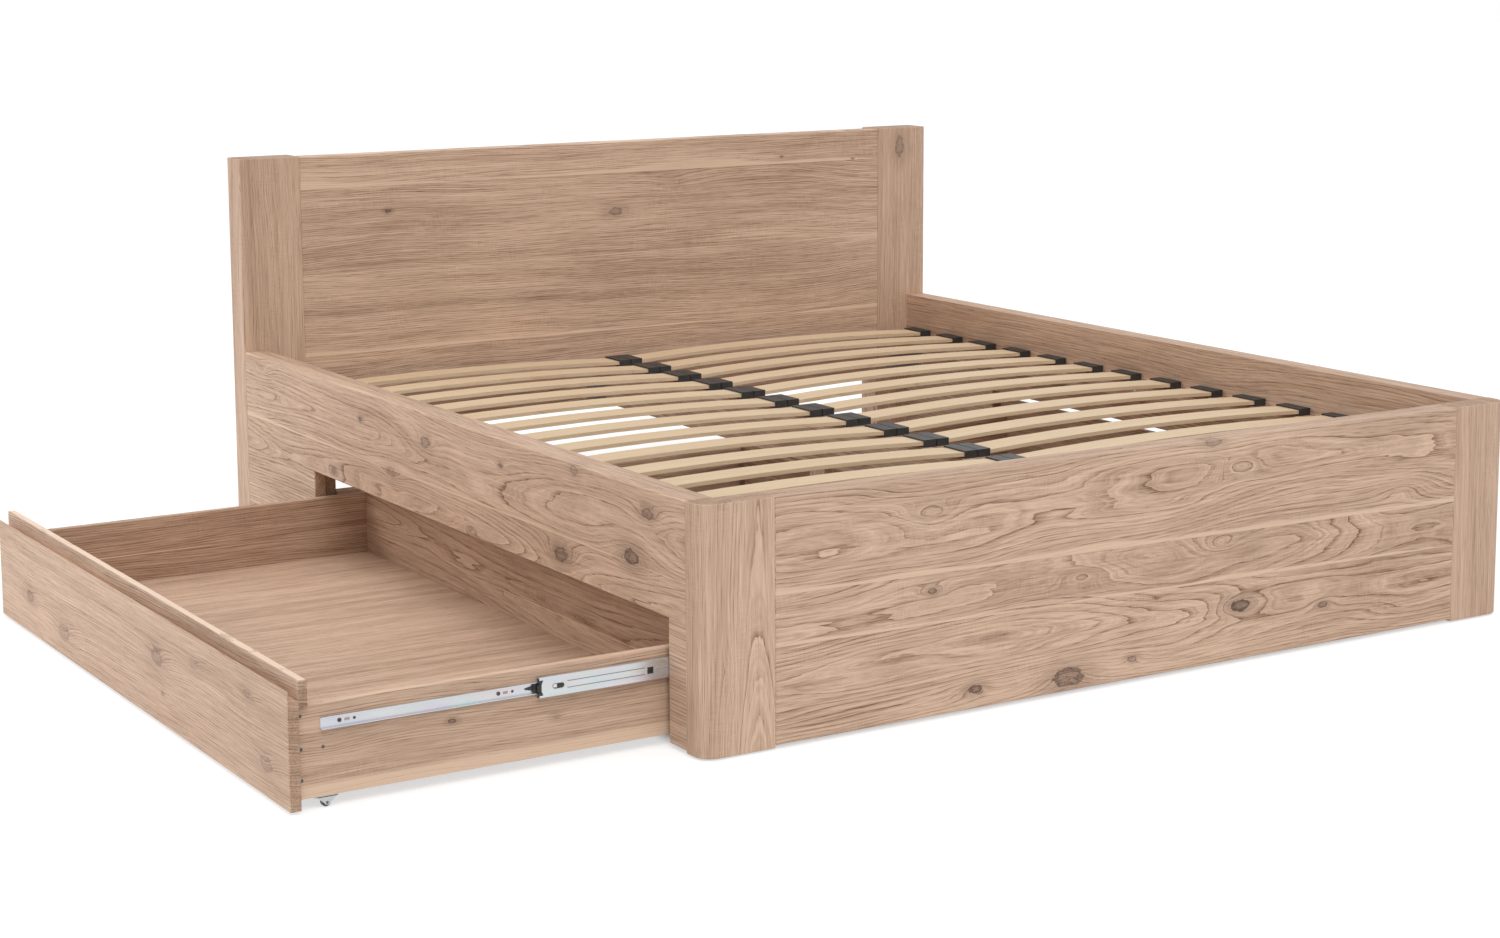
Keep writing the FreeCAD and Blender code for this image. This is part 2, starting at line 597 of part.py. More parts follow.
def make_drawer():
    """The left drawer's boards, pulled out, and the right drawer's, shut."""
    front_x, inner_x = behind("0", DRAWER_OUT), behind("drawer_front_thickness", DRAWER_OUT)
    inside_x = behind("box_inside", DRAWER_OUT)
    back_x, end_x = behind("box_back", DRAWER_OUT), behind("box_end", DRAWER_OUT)
    slot = "bottom_top + groove_play"

    front = add(new_body("drawer_front_left"), "XZ", "front_foot", "front_head", [
        (front_x, "drawer_front_bottom"), (inner_x, "drawer_front_bottom"),
        (inner_x, "drawer_front_top - cove_radius", "cove_radius", 1),
        (f"{inner_x} - cove_radius", "drawer_front_top"), (front_x, "drawer_front_top")])
    dress(front, "Chamfer", "arris", lambda middle, along: at(middle.x, front_x)
          and (at(middle.z, "drawer_front_bottom") or abs(along.z) > MATCH))

    lip = add(new_body("drawer_inner_front_left"), "YZ", inner_x, inside_x, [
        ("inner_side_foot", "drawer_side_bottom"), ("inner_side_head", "drawer_side_bottom"),
        ("inner_side_head", "drawer_side_top"), ("front_head", "drawer_side_top"),
        ("front_head", "inner_front_top"), ("front_foot", "inner_front_top"),
        ("front_foot", "drawer_side_top"), ("inner_side_foot", "drawer_side_top")])
    dress(lip, "Chamfer", "arris", lambda middle, along: at(middle.z, "inner_front_top"))
    cut(lip, "XY", "drawer_bottom_low", slot,
        rectangle(f"{inside_x} - groove_depth", inside_x, "inner_side_foot", "inner_side_head"))

    sides = []
    for end, outer, way in (("foot", "side_foot", 1), ("head", "side_head", -1)):
        inner = f"inner_side_{end}"
        side = board(f"drawer_side_{end}_left", inner_x, end_x, *sorted((outer, inner), key=value),
                     "drawer_side_bottom", "drawer_side_top")
        dress(side, "Chamfer", "arris", lambda middle, along: at(middle.z, "drawer_side_top"))
        cut(side, "XY", "drawer_bottom_low", slot,
            rectangle(inner_x, end_x, *sorted((inner, f"{inner} - {way} * groove_depth"), key=value)))
        sides.append(side)

    back = board("drawer_back_left", back_x, end_x, "inner_side_foot", "inner_side_head",
                 "drawer_side_bottom", "drawer_side_top")
    dress(back, "Chamfer", "arris", lambda middle, along: at(middle.z, "drawer_side_top"))
    cut(back, "XY", "drawer_bottom_low", slot,
        rectangle(back_x, f"{back_x} + groove_depth", "inner_side_foot", "inner_side_head"))
    bottom = board("drawer_bottom_left", f"{inside_x} - tongue", f"{back_x} + tongue",
                   "inner_side_foot - tongue", "inner_side_head + tongue",
                   "drawer_bottom_low", "bottom_top")
    for piece in [front, lip, *sides, back, bottom]:
        keep_both(piece, DRAWER_OUT)


def channel(label, start, length, out, place, web, tip, half, sheet, race, lip="0"):
    """One rolled slide member: a C with its web at one depth and its open side at another.

    place(depth) gives Y at a depth from the carrier board; race is the thickness of the
    member's ball tracks, and lip how far their edges turn in.
    """
    way = 1 if value(tip) > value(web) else -1
    web_y, inside, tip_y = place(web), place(f"{web} + {way} * {sheet}"), place(tip)
    bend = place(f"{web} + {way} * member_bevel")
    rim = place(f"{tip} - {way} * {sheet}")
    upper = [(bend, half), (tip_y, half)]
    if lip != "0":
        upper += [(tip_y, f"{half} - {race} - {lip}"), (rim, f"{half} - {race} - {lip}"),
                  (rim, f"{half} - {race}")]
    else:
        upper += [(tip_y, f"{half} - {race}")]
    upper += [(inside, f"{half} - {race}")]
    outline = [(web_y, f"slide_height + {half} - member_bevel")]
    outline += [(y, f"slide_height + {z}") for y, z in upper]
    outline += [(y, f"slide_height - ({z})") for y, z in reversed(upper)]
    outline += [(web_y, f"slide_height - {half} + member_bevel")]
    return add(new_body(label), "YZ", behind(start, out), behind(f"{start} + {length}", out), outline)


def slot_at(start, length, height, out):
    """A rectangle in a slide's web, as X and Z formulas."""
    return rectangle(behind(start, out), behind(f"{start} + {length}", out),
                     f"slide_height - {height} / 2", f"slide_height + {height} / 2")


def make_slides():
    """Three rolled members, a release lever and a bumper, at each end of each drawer."""
    levers, bumpers = [], []
    for end, way in (("foot", 1), ("head", -1)):
        def place(depth):
            return f"carrier_{end} + {way} * ({depth})"

        def layer(low, high):
            return sorted((place(low), place(high)), key=value)

        outer = channel(f"slide_cabinet_{end}_left", "outer_start", "slide_length", "0", place,
                        "0", "outer_depth", "outer_half", "outer_sheet", "outer_sheet", "outer_lip")
        mid = channel(f"slide_middle_{end}_left", "mid_start", "mid_length", MID_OUT, place,
                      "mid_web", "mid_web + mid_depth", "mid_half", "mid_sheet", "mid_race")
        inner = channel(f"slide_drawer_{end}_left", "inner_start", "slide_length", DRAWER_OUT,
                        place, "slide_space", "inner_tip", "inner_half", "inner_sheet",
                        "inner_sheet")
        web = layer("slide_space - inner_sheet", "slide_space")
        for first in ("near_group", "far_group"):
            spot = f"inner_start + {first}"
            far_spot = f"{spot} + 2 * screw_hole_pitch"
            cut(inner, "XZ", *web, circles=[
                (behind(spot, DRAWER_OUT), "slide_height", "screw_hole_radius"),
                (behind(far_spot, DRAWER_OUT), "slide_height", "screw_hole_radius")])
            cut(inner, "XZ", *web, slot_at(
                f"{spot} + screw_hole_pitch - screw_slot_length / 2", "screw_slot_length",
                "screw_slot_height", DRAWER_OUT))
        web = layer("mid_web", "mid_web + mid_sheet")
        cut(mid, "XZ", *web, slot_at("mid_start + mid_slot_start", "mid_slot_length",
                                     "mid_slot_height", MID_OUT))
        cut(mid, "XZ", *web, slot_at("mid_start + mid_window_start", "mid_window_side",
                                     "mid_window_side", MID_OUT))
        keep_both(outer)
        keep_both(mid, MID_OUT)
        keep_both(inner, DRAWER_OUT)
        levers.append(make_lever(layer))
        bumpers.append(make_bumper(layer))
    keep_both(group("slide_levers_left", levers), DRAWER_OUT)
    keep_both(group("slide_bumpers_left", bumpers), MID_OUT)


def make_lever(layer):
    """A pointed blade in the drawer member, with a raised thumb tab at its blunt end."""
    back = "slide_space - inner_sheet"
    tab = "lever_start + lever_length - lever_tab"
    tip, shoulder = behind("lever_start", DRAWER_OUT), behind(tab, DRAWER_OUT)
    last = behind("lever_start + lever_length", DRAWER_OUT)
    outline = [(tip, "slide_height - lever_tip / 2"), (shoulder, "slide_height - lever_height / 2"),
               (last, "slide_height - lever_height / 2"), (last, "slide_height + lever_height / 2"),
               (shoulder, "slide_height + lever_height / 2"), (tip, "slide_height + lever_tip / 2")]
    lever = add(new_body("lever"), "XZ", *layer(f"{back} - lever_blade", back), outline)
    return add(lever, "XZ", *layer(f"{back} - lever_rise", f"{back} - lever_blade"),
               slot_at(tab, "lever_tab", "lever_tab_height", DRAWER_OUT))


def make_bumper(layer):
    """A waisted plastic stop across the front end of the intermediate member."""
    first = behind("mid_start - bumper_overhang", MID_OUT)
    last = f"{first} + bumper_length"
    reach = "(mid_half - mid_race)"
    waist_first = f"{first} + (bumper_length - bumper_waist) / 2"
    waist_last = f"{last} - (bumper_length - bumper_waist) / 2"
    half = f"{reach} / 2"
    outline = [(first, f"slide_height - {reach}"), (last, f"slide_height - {reach}"),
               (waist_last, f"slide_height - {half}"), (waist_last, f"slide_height + {half}"),
               (last, f"slide_height + {reach}"), (first, f"slide_height + {reach}"),
               (waist_first, f"slide_height + {half}"), (waist_first, f"slide_height - {half}")]
    depth = "mid_web + mid_sheet"
    return add(new_body("bumper"), "XZ", *layer(depth, f"{depth} + bumper_thickness"), outline)


def ball(x, y, z, radius):
    """A steel ball with flats: what two eight-sided bars have in common where they cross."""
    bars = []
    for turn in (UPRIGHT_BAR, LYING_BAR):
        bar = doc.addObject("Part::Prism", "bar")
        bar.Polygon = BALL_SIDES
        bar.setExpression("Circumradius", spell(f"{radius} * ball_corner_share"))
        bar.setExpression("Height", spell(f"2 * {radius}"))
        bar.Placement.Rotation = turn
        reach = turn.multVec(FreeCAD.Vector(0, 0, 1))
        for axis, middle in (("x", x), ("y", y), ("z", z)):
            back = round(getattr(reach, axis))
            bar.setExpression(f"Placement.Base.{axis}", spell(f"{middle} - {back} * {radius}"))
        bars.append(bar)
    common = doc.addObject("Part::Common", "ball")
    common.Base, common.Tool = bars
    return common


def ball_spots(start, length, out):
    """X of each ball in a row, evenly spaced between a cage's margins."""
    count = SIZES["balls_in_row"]
    step = f"({length} - 2 * cage_margin) / (balls_in_row - 1)"
    return [behind(f"{start} + cage_margin + {number} * {step}", out) for number in range(count)]


def make_cages():
    """Ball cages: two flat strips in the outer tracks, a folded C in the inner ones."""
    outer_pieces, inner_pieces = [], []
    for end, way in (("foot", 1), ("head", -1)):
        def place(depth):
            return f"carrier_{end} + {way} * ({depth})"

        spots = ball_spots("outer_cage_start", "outer_cage_length", OUTER_CAGE_OUT)
        y = place("outer_ball_depth")
        low, high = sorted((place("outer_ball_depth - outer_cage_width / 2"),
                            place("outer_ball_depth + outer_cage_width / 2")), key=value)
        for up in (1, -1):
            level = f"slide_height + {up} * outer_ball_height"
            strip = add(new_body("cage_strip"), "XY", f"{level} - cage_sheet / 2",
                        f"{level} + cage_sheet / 2", rectangle(
                            behind("outer_cage_start", OUTER_CAGE_OUT),
                            behind("outer_cage_start + outer_cage_length", OUTER_CAGE_OUT),
                            low, high))
            for x in spots:
                cut(strip, "XY", f"{level} - cage_sheet", f"{level} + cage_sheet",
                    around(x, y, "(outer_ball + ball_hole_play)"))
            outer_pieces += [strip] + [ball(x, y, level, "outer_ball") for x in spots]

        spots = ball_spots("inner_cage_start", "inner_cage_length", INNER_CAGE_OUT)
        y = place("inner_ball_depth")
        half = "inner_ball_height + cage_sheet / 2"
        web, inside = place("cage_web"), place("cage_web + cage_sheet")
        tip = place("inner_ball_depth + inner_ball - ball_gap")
        up_in, low_in = f"slide_height + {half} - cage_sheet", f"slide_height - ({half}) + cage_sheet"
        cage = add(new_body("cage"), "YZ", behind("inner_cage_start", INNER_CAGE_OUT),
                   behind("inner_cage_start + inner_cage_length", INNER_CAGE_OUT), [
                       (web, f"slide_height + {half}"), (tip, f"slide_height + {half}"),
                       (tip, up_in), (inside, up_in), (inside, low_in), (tip, low_in),
                       (tip, f"slide_height - ({half})"), (web, f"slide_height - ({half})")])
        for x in spots:
            cut(cage, "XY", f"slide_height - ({half}) - overrun",
                f"slide_height + {half} + overrun", around(x, y, "(inner_ball + ball_hole_play)"))
        inner_pieces.append(cage)
        for up in (1, -1):
            inner_pieces += [ball(x, y, f"slide_height + {up} * inner_ball_height", "inner_ball")
                             for x in spots]
    doc.recompute()
    keep_both(group("outer_cages_left", outer_pieces), OUTER_CAGE_OUT)
    keep_both(group("inner_cages_left", inner_pieces), INNER_CAGE_OUT)


def make_rollers():
    """A low roller under each drawer side, near the front: a forked housing and its wheel."""
    middle = behind("roller_place", DRAWER_OUT)
    plate_low = "drawer_side_bottom - roller_plate"
    cheek, plate = "roller_cheek_length / 2", "roller_plate_length / 2"
    outline = [(f"{middle} - {cheek}", "roller_floor_gap"), (f"{middle} + {cheek}", "roller_floor_gap"),
               (f"{middle} + {cheek}", "wheel_radius"), (f"{middle} + {plate}", plate_low),
               (f"{middle} + {plate}", "drawer_side_bottom"),
               (f"{middle} - {plate}", "drawer_side_bottom"),
               (f"{middle} - {plate}", plate_low), (f"{middle} - {cheek}", "wheel_radius")]
    forks, wheels = [], []
    for line in ("side_foot + drawer_side_thickness / 2", "side_head - drawer_side_thickness / 2"):
        low, high = f"{line} - roller_width / 2", f"{line} + roller_width / 2"
        slot = "(wheel_width / 2 + wheel_side_play)"
        fork = add(new_body("fork"), "XZ", low, high, outline)
        cut(fork, "XZ", f"{line} - {slot}", f"{line} + {slot}",
            rectangle(f"{middle} - {plate} - overrun", f"{middle} + {plate} + overrun",
                      "-overrun", plate_low))
        add(fork, "XZ", low, high, circles=[(middle, "wheel_radius", "axle_radius")])
        wheel = add(new_body("wheel"), "XZ", f"{line} - wheel_width / 2",
                    f"{line} + wheel_width / 2",
                    circles=[(middle, "wheel_radius", "wheel_radius")])
        cut(wheel, "XZ", f"{line} - wheel_width / 2 - overrun",
            f"{line} + wheel_width / 2 + overrun",
            circles=[(middle, "wheel_radius", "axle_radius + axle_play")])
        forks.append(fork)
        wheels.append(wheel)
    keep_both(group("roller_forks_left", forks), DRAWER_OUT)
    keep_both(group("roller_wheels_left", wheels), DRAWER_OUT)


def write_parts():
    """Refuse anything broken, then write one file for each node."""
    doc.recompute()
    for item in doc.Objects:
        if {"Invalid", "Error"} & set(item.State):
            raise RuntimeError(f"{item.Label} ({item.Name}) failed: {item.State}")
    for label, piece in parts.items():
        if piece.Shape.isNull() or not piece.Shape.isValid() or not piece.Shape.Solids:
            raise RuntimeError(f"{label} has no sound shape")
    os.makedirs("parts", exist_ok=True)
    for label, piece in parts.items():
        piece.Shape.exportStep(f"parts/{label}.step")
    solids = sum(len(piece.Shape.Solids) for piece in parts.values())
    print(f"{len(parts)} nodes, {solids} solids")


make_headboard()
make_foot_end()
make_rails()
make_beam()
make_brackets()
make_bolts()
make_slats()
make_glides()
make_carriers()
make_drawer()
make_slides()
make_cages()
make_rollers()
write_parts()
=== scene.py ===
# %% [markdown]
# # An oak bed frame with drawers
#
# The bed is built from solid oak boards: a headboard between two posts, a foot panel between two
# posts, a rail along each side, and a long drawer under each rail. The left drawer is pulled out.
# The construction is already modelled to size and is loaded here as a fixed frame, so this script
# gives it wood, steel and plastic, adds the small hardware, and sets up the photograph's view.

from math import cos, pi, radians, sin

import bmesh
import bpy
from mathutils import Euler, Matrix, Vector


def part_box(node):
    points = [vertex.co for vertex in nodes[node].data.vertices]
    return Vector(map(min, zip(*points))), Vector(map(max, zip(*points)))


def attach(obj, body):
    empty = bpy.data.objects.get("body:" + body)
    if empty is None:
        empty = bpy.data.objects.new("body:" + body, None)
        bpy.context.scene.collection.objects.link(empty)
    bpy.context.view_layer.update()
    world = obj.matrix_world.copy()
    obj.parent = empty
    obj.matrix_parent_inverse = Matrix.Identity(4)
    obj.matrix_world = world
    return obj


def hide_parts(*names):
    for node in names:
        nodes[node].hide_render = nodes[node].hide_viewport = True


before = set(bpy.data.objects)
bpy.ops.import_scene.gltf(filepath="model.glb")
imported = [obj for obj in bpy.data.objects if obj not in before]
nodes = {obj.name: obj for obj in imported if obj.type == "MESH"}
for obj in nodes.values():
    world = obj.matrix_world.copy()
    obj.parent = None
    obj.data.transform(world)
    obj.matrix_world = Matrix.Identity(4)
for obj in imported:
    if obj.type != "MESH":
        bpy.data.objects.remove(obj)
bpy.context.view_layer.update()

# %% [markdown]
# ## Camera
#
# A camera can be worked out from a picture of a straight-edged thing, because every long edge
# that runs away from us narrows at a rate that depends on the lens. The numbers below come from
# such a fit on the bed's own corners. The lens is a short telephoto one. A small vertical shift
# keeps the posts nearly upright, as an architectural photographer would.

# %% Camera
eye = Vector((-3.2328, -4.8923, 1.3825))
turn, tip, roll = radians(31.785), radians(-8.579), radians(-0.25)

camera = bpy.data.objects.new("camera", bpy.data.cameras.new("camera"))
bpy.context.scene.collection.objects.link(camera)
camera.data.lens = 65.2
camera.data.sensor_width = 36
camera.data.shift_y = -0.08
aim = Euler((pi / 2 + tip, 0, -turn)).to_matrix() @ Matrix.Rotation(roll, 3, "Z")
camera.matrix_world = Matrix.Translation(eye) @ aim.to_4x4()
bpy.context.scene.camera = camera
print("camera", round(eye.length, 2), "m from the middle of the bed")

# %% [markdown]
# ## Arithmetic on a surface
#
# Shader trees are long when every node is spelled out. Here a Field stands for a number that
# changes from point to point on a surface. Adding or multiplying fields adds the Math nodes, so
# a formula for wood grain reads like a formula.

# %% Fields
def feed(socket, source):
    """Link a socket or a field to another socket, or write a plain value into it."""
    source = getattr(source, "socket", source)
    if isinstance(source, bpy.types.NodeSocket):
        socket.id_data.links.new(source, socket)
    else:
        socket.default_value = source


class Field:
    """The output of a node, with arithmetic."""

    def __init__(self, socket):
        self.socket = socket

    def maths(self, operation, *others):
        node = self.socket.id_data.nodes.new("ShaderNodeMath")
        node.operation = operation
        for socket, source in zip(node.inputs, (self, *others)):
            feed(socket, source)
        return Field(node.outputs[0])

    def __add__(self, other):
        return self.maths("ADD", other)

    def __sub__(self, other):
        return self.maths("SUBTRACT", other)

    def __rsub__(self, other):
        return self * -1.0 + other

    def __mul__(self, other):
        return self.maths("MULTIPLY", other)

    def __truediv__(self, other):
        return self.maths("DIVIDE", other)

    def __pow__(self, other):
        return self.maths("POWER", other)

    def __abs__(self):
        return self.maths("ABSOLUTE")

    __radd__, __rmul__ = __add__, __mul__

    def ramp(self, low, high, to_low=0.0, to_high=1.0):
        """Turn a range of this field smoothly into another range, and stop at its ends."""
        node = self.socket.id_data.nodes.new("ShaderNodeMapRange")
        node.interpolation_type = "SMOOTHSTEP"
        for socket, source in zip(node.inputs, (self, low, high, to_low, to_high)):
            feed(socket, source)
        return Field(node.outputs[0])


# %% [markdown]
# ## Textures, colours and groups
#
# The other helpers make a noise texture, stretch a place so that the noise becomes long streaks,
# mix two colours, and set up a node group with named sockets. A colour is written as a picture
# editor shows it, from 0 to 255, and turned into the linear light that nodes work with.

# %% Textures, colours and groups
def stretch(place, along, across, depth):
    node = getattr(place, "socket", place).id_data.nodes.new("ShaderNodeVectorMath")
    node.operation = "MULTIPLY"
    feed(node.inputs[0], place)
    node.inputs[1].default_value = (along, across, depth)
    return Field(node.outputs[0])


def join(tree, x=0.0, y=0.0, z=0.0):
    node = tree.nodes.new("ShaderNodeCombineXYZ")
    for socket, source in zip(node.inputs, (x, y, z)):
        feed(socket, source)
    return Field(node.outputs[0])


def split(place):
    node = getattr(place, "socket", place).id_data.nodes.new("ShaderNodeSeparateXYZ")
    feed(node.inputs[0], place)
    return [Field(output) for output in node.outputs]


def noise(place, detail=2.0, roughness=0.5, scale=1.0):
    node = getattr(place, "socket", place).id_data.nodes.new("ShaderNodeTexNoise")
    feed(node.inputs["Vector"], place)
    node.inputs["Scale"].default_value = scale
    node.inputs["Detail"].default_value = detail
    node.inputs["Roughness"].default_value = roughness
    return Field(node.outputs["Fac"])


def chance(number):
    """Three random numbers from 0 to 1 that stay the same for the same number."""
    tree = number.socket.id_data
    node = tree.nodes.new("ShaderNodeTexWhiteNoise")
    node.noise_dimensions = "1D"
    feed(node.inputs["W"], number)
    apart = tree.nodes.new("ShaderNodeSeparateColor")
    feed(apart.inputs[0], node.outputs["Color"])
    return [Field(output) for output in apart.outputs]


def blend_colours(share, first, second):
    """Mix two colours. Each part can be a field or a plain value, but not all three are plain."""
    tree = next(part for part in (share, first, second) if isinstance(part, Field)).socket.id_data
    node = tree.nodes.new("ShaderNodeMix")
    node.data_type = "RGBA"
    sockets = {socket.identifier: socket for socket in node.inputs}
    feed(sockets["Factor_Float"], share)
    feed(sockets["A_Color"], first)
    feed(sockets["B_Color"], second)
    return Field(next(s for s in node.outputs if s.identifier == "Result_Color"))


def tint(red, green, blue):
    return (*[((c / 255 + 0.055) / 1.055) ** 2.4 for c in (red, green, blue)], 1.0)


def new_group(name, inputs, outputs):
    """A node group, its inputs as fields, and its output sockets, all by name."""
    tree = bpy.data.node_groups.new(name, "ShaderNodeTree")
    for word, value in inputs.items():
        size = len(value) if isinstance(value, tuple) else 1
        kind = {1: "NodeSocketFloat", 3: "NodeSocketVector", 4: "NodeSocketColor"}[size]
        tree.interface.new_socket(word, in_out="INPUT", socket_type=kind).default_value = value
    for word, kind in outputs.items():
        tree.interface.new_socket(word, in_out="OUTPUT", socket_type=f"NodeSocket{kind}")
    start, end = tree.nodes.new("NodeGroupInput"), tree.nodes.new("NodeGroupOutput")
    return tree, {word: Field(start.outputs[word]) for word in inputs}, end.inputs


def use_group(tree, group, **inputs):
    node = tree.nodes.new("ShaderNodeGroup")
    node.node_tree = bpy.data.node_groups[group]
    for word, source in inputs.items():
        feed(node.inputs[word.replace("_", " ")], source)
    return {output.name: Field(output) for output in node.outputs}


# %% [markdown]
# ## Staves
#
# A wide board is glued up from narrow ones, called staves, and each stave comes from its own
# piece of the tree. This group takes the height across a board and up to three joints. It puts
# out the number of the stave, a mask for the pale sapwood that lies along some joints and comes
# and goes, and a mask for the thin line of the joint itself. A joint that is left at 99 metres
# lies beyond every board, so a board without joints is one stave.

# %% Group: staves
tree, given, result = new_group(
    "staves",
    {"Place": (0.0, 0.0, 0.0), "Slope": 0.0, "Sapwood Width": 0.03, "Steady": 0.0, "Seed": 0.0,
     "Joint 1": 99.0, "Joint 2": 99.0, "Joint 3": 99.0},
    {"Stave": "Float", "Sapwood": "Float", "Seam": "Float"})
along, across, _ = split(given["Place"])
across = across - along * given["Slope"]
stave = sapwood = seam = across * 0.0
for number, word in enumerate(("Joint 1", "Joint 2", "Joint 3")):
    above = across - given[word]
    over = above.maths("GREATER_THAN", 0.0)
    stave = stave + over
    wave = noise(join(tree, along * 1.7, given["Seed"], number * 5.0), detail=2.0)
    reach = wave.ramp(0.35, 0.75, 0.05, 1.0).maths("MAXIMUM", given["Steady"])
    narrower = 1.0 - 0.4 * number
    reach = reach * given["Sapwood Width"] * narrower
    sapwood = sapwood.maths("MAXIMUM", over * (above / reach).ramp(0.6, 1.0, 1.0, 0.0))
    seam = seam.maths("MAXIMUM", abs(above).ramp(0.0002, 0.0010, 1.0, 0.0))
feed(result["Stave"], stave)
feed(result["Sapwood"], sapwood)
feed(result["Seam"], seam)
print("group staves:", len(tree.nodes), "nodes")

# %% [markdown]
# ## Knots
#
# A knot is the root of a branch. The growth rings flow round it like water round a stone. If we
# treat the ring number as a height on a map, a knot is a small hill on that map, and the grain
# lines are its contours. So this group puts out a hill to add to the ring number, and a ragged
# oval with a dark rim and a greyer middle. Knots are chained: each adds to the one before.

# %% Group: knot
tree, given, result = new_group(
    "knot",
    {"Place": (0.0, 0.0, 0.0), "Ragged": 0.5, "Along": 0.0, "Across": 0.0, "Size": 0.01,
     "Rings": 4.0, "Core": 1.0, "Lift Before": 0.0, "Dark Before": 0.0},
    {"Lift": "Float", "Dark": "Float"})
along, across, _ = split(given["Place"])
far = (along - given["Along"]) / given["Size"]
up = (across - given["Across"]) / given["Size"]
reach = (far * far * 0.09 + up * up * 0.75 + 0.20) ** 0.5
feed(result["Lift"], given["Lift Before"] + (reach * -1.05).maths("EXPONENT") * given["Rings"])
edge = (far * far * 0.27 + up * up) ** 0.5 + (given["Ragged"] - 0.5) * 1.1
crack = abs(given["Ragged"] - 0.5 - far * 0.05).ramp(0.0, 0.03, 0.5, 0.0)
rim = edge.ramp(0.45, 0.95) * 0.40
core = edge.ramp(0.85, 1.15, 1.0, 0.0) * (rim + crack + 0.75)
halo = edge.ramp(0.9, 3.2, 0.40, 0.0)
dark = core.maths("MAXIMUM", halo) * given["Core"]
feed(result["Dark"], given["Dark Before"].maths("MAXIMUM", dark))
print("group knot:", len(tree.nodes), "nodes")

# %% [markdown]
# ## Oak
#
# Growth rings are long, thin tubes round the middle of the trunk, called the pith. A board is a
# slice beside it, so the rings show as long arches where the slice is nearly level with them and
# as straight lines near the edges. The group measures the distance to a pith that wanders a
# little along the board, divides it by the width of a ring, and draws a sharp dark line of pores
# wherever a new ring starts. Fine streaks are drawn on the ring number too, so that they flow
# round the knots with the rings. Each stave gets its own pith from a random number. Figure is
# the contrast of it all, and Wander says by how many rings a slow noise bends the arches.

# %% Group: oak
tree, given, result = new_group(
    "oak",
    {"Place": (0.0, 0.0, 0.0), "Stave": 0.0, "Sapwood": 0.0, "Seam": 0.0, "Lift": 0.0,
     "Knot": 0.0, "End Grain": 0.0, "Seed": 0.0, "Ring Width": 0.0052, "Pith Depth": 0.07,
     "Pith Side": 0.0, "Pith Spread": 0.6, "Figure": 1.3, "Wander": 9.0, "Tone": 0.0,
     "Pale Wood": tint(226, 194, 169), "Deep Wood": tint(132, 99, 75),
     "Knot Wood": tint(92, 70, 58), "Sap Colour": tint(229, 199, 173)},
    {"Colour": "Color", "Roughness": "Float", "Height": "Float"})
along, across, depth = split(given["Place"])
aside, deeper, own = chance(given["Seed"] * 3.17 + given["Stave"])
shift = given["Seed"] * 3.7 + given["Stave"] * 1.61
u, v, w = along + shift * 2.3, across + shift, depth + shift * 0.7

# %% Rings, measured from a pith that wanders
sway = (noise(join(tree, u * 0.9, shift)) - 0.5) * 0.10
dive = (noise(join(tree, u * 0.8, shift, 9.0)) - 0.5) * 0.08
side = across + sway + (aside - 0.5) * given["Pith Spread"] + given["Pith Side"]
down = depth + given["Pith Depth"] + dive + deeper * 0.05
radius = (side * side + down * down) ** 0.5
slow = noise(join(tree, u * 1.1, v * 9.0, w * 9.0), detail=2.0, roughness=0.4)
quick = noise(join(tree, u * 11.0, v * 80.0, w * 80.0), detail=2.0)
rings = (radius + along * 0.006) / given["Ring Width"] + (slow - 0.5) * given["Wander"]
rings = rings + (quick - 0.5) * 0.60 + given["Lift"]
print("ring number:", len(tree.nodes), "nodes so far")

# %% Dark lines, streaks, pores and clouds
# Flow and fine streaks follow the rings. Hairs and dashes run straight along the board, and
# patches of saw marks run across it. The cloud and the bands change its tone slowly.
year = rings.maths("FRACT")
whole = rings.maths("FLOOR")
strength, _, _ = chance(whole + own * 50.0)
flow = noise(join(tree, u * 4.0, rings * 1.5, shift), detail=4.0, roughness=0.72)
fine = noise(join(tree, u * 9.0, rings * 5.0, shift), detail=3.0, roughness=0.7)
hairs = noise(join(tree, u * 6.0, v * 260.0, w * 260.0), detail=2.0, roughness=0.6)
dashes = noise(join(tree, u * 26.0, v * 620.0, w * 620.0), detail=1.0)
cloud = noise(join(tree, u * 1.5, v * 7.0, w * 7.0), detail=2.0)
bands = noise(join(tree, u * 0.7, rings * 0.14, shift), detail=1.0)
saw = noise(join(tree, u * 420.0, v * 45.0, w * 45.0), detail=1.0)
patch = noise(join(tree, u * 7.0, v * 16.0, w * 16.0), detail=1.0).ramp(0.48, 0.66)
line = (1.0 - year) ** 8.0 * (strength * 0.85 + 0.15) * dashes.ramp(0.28, 0.60, 0.40, 1.0)
pores = dashes.ramp(0.52, 0.72) * (1.0 - year * 0.6)
dark = 0.25 + line * 0.70 + (1.0 - year) * 0.06 + (flow - 0.5) * 0.80 + (fine - 0.5) * 0.65
dark = dark + (hairs - 0.5) * 0.55 + pores * 0.20 + (saw - 0.5) * patch * 0.22
dark = dark + (cloud - 0.5) * 0.30 + (bands - 0.5) * 0.40 + (own - 0.5) * 0.06
dark = (dark - 0.3) * given["Figure"] + 0.3 + given["Tone"]
dark = dark + given["End Grain"] * 0.30 + given["Seam"] * 0.25

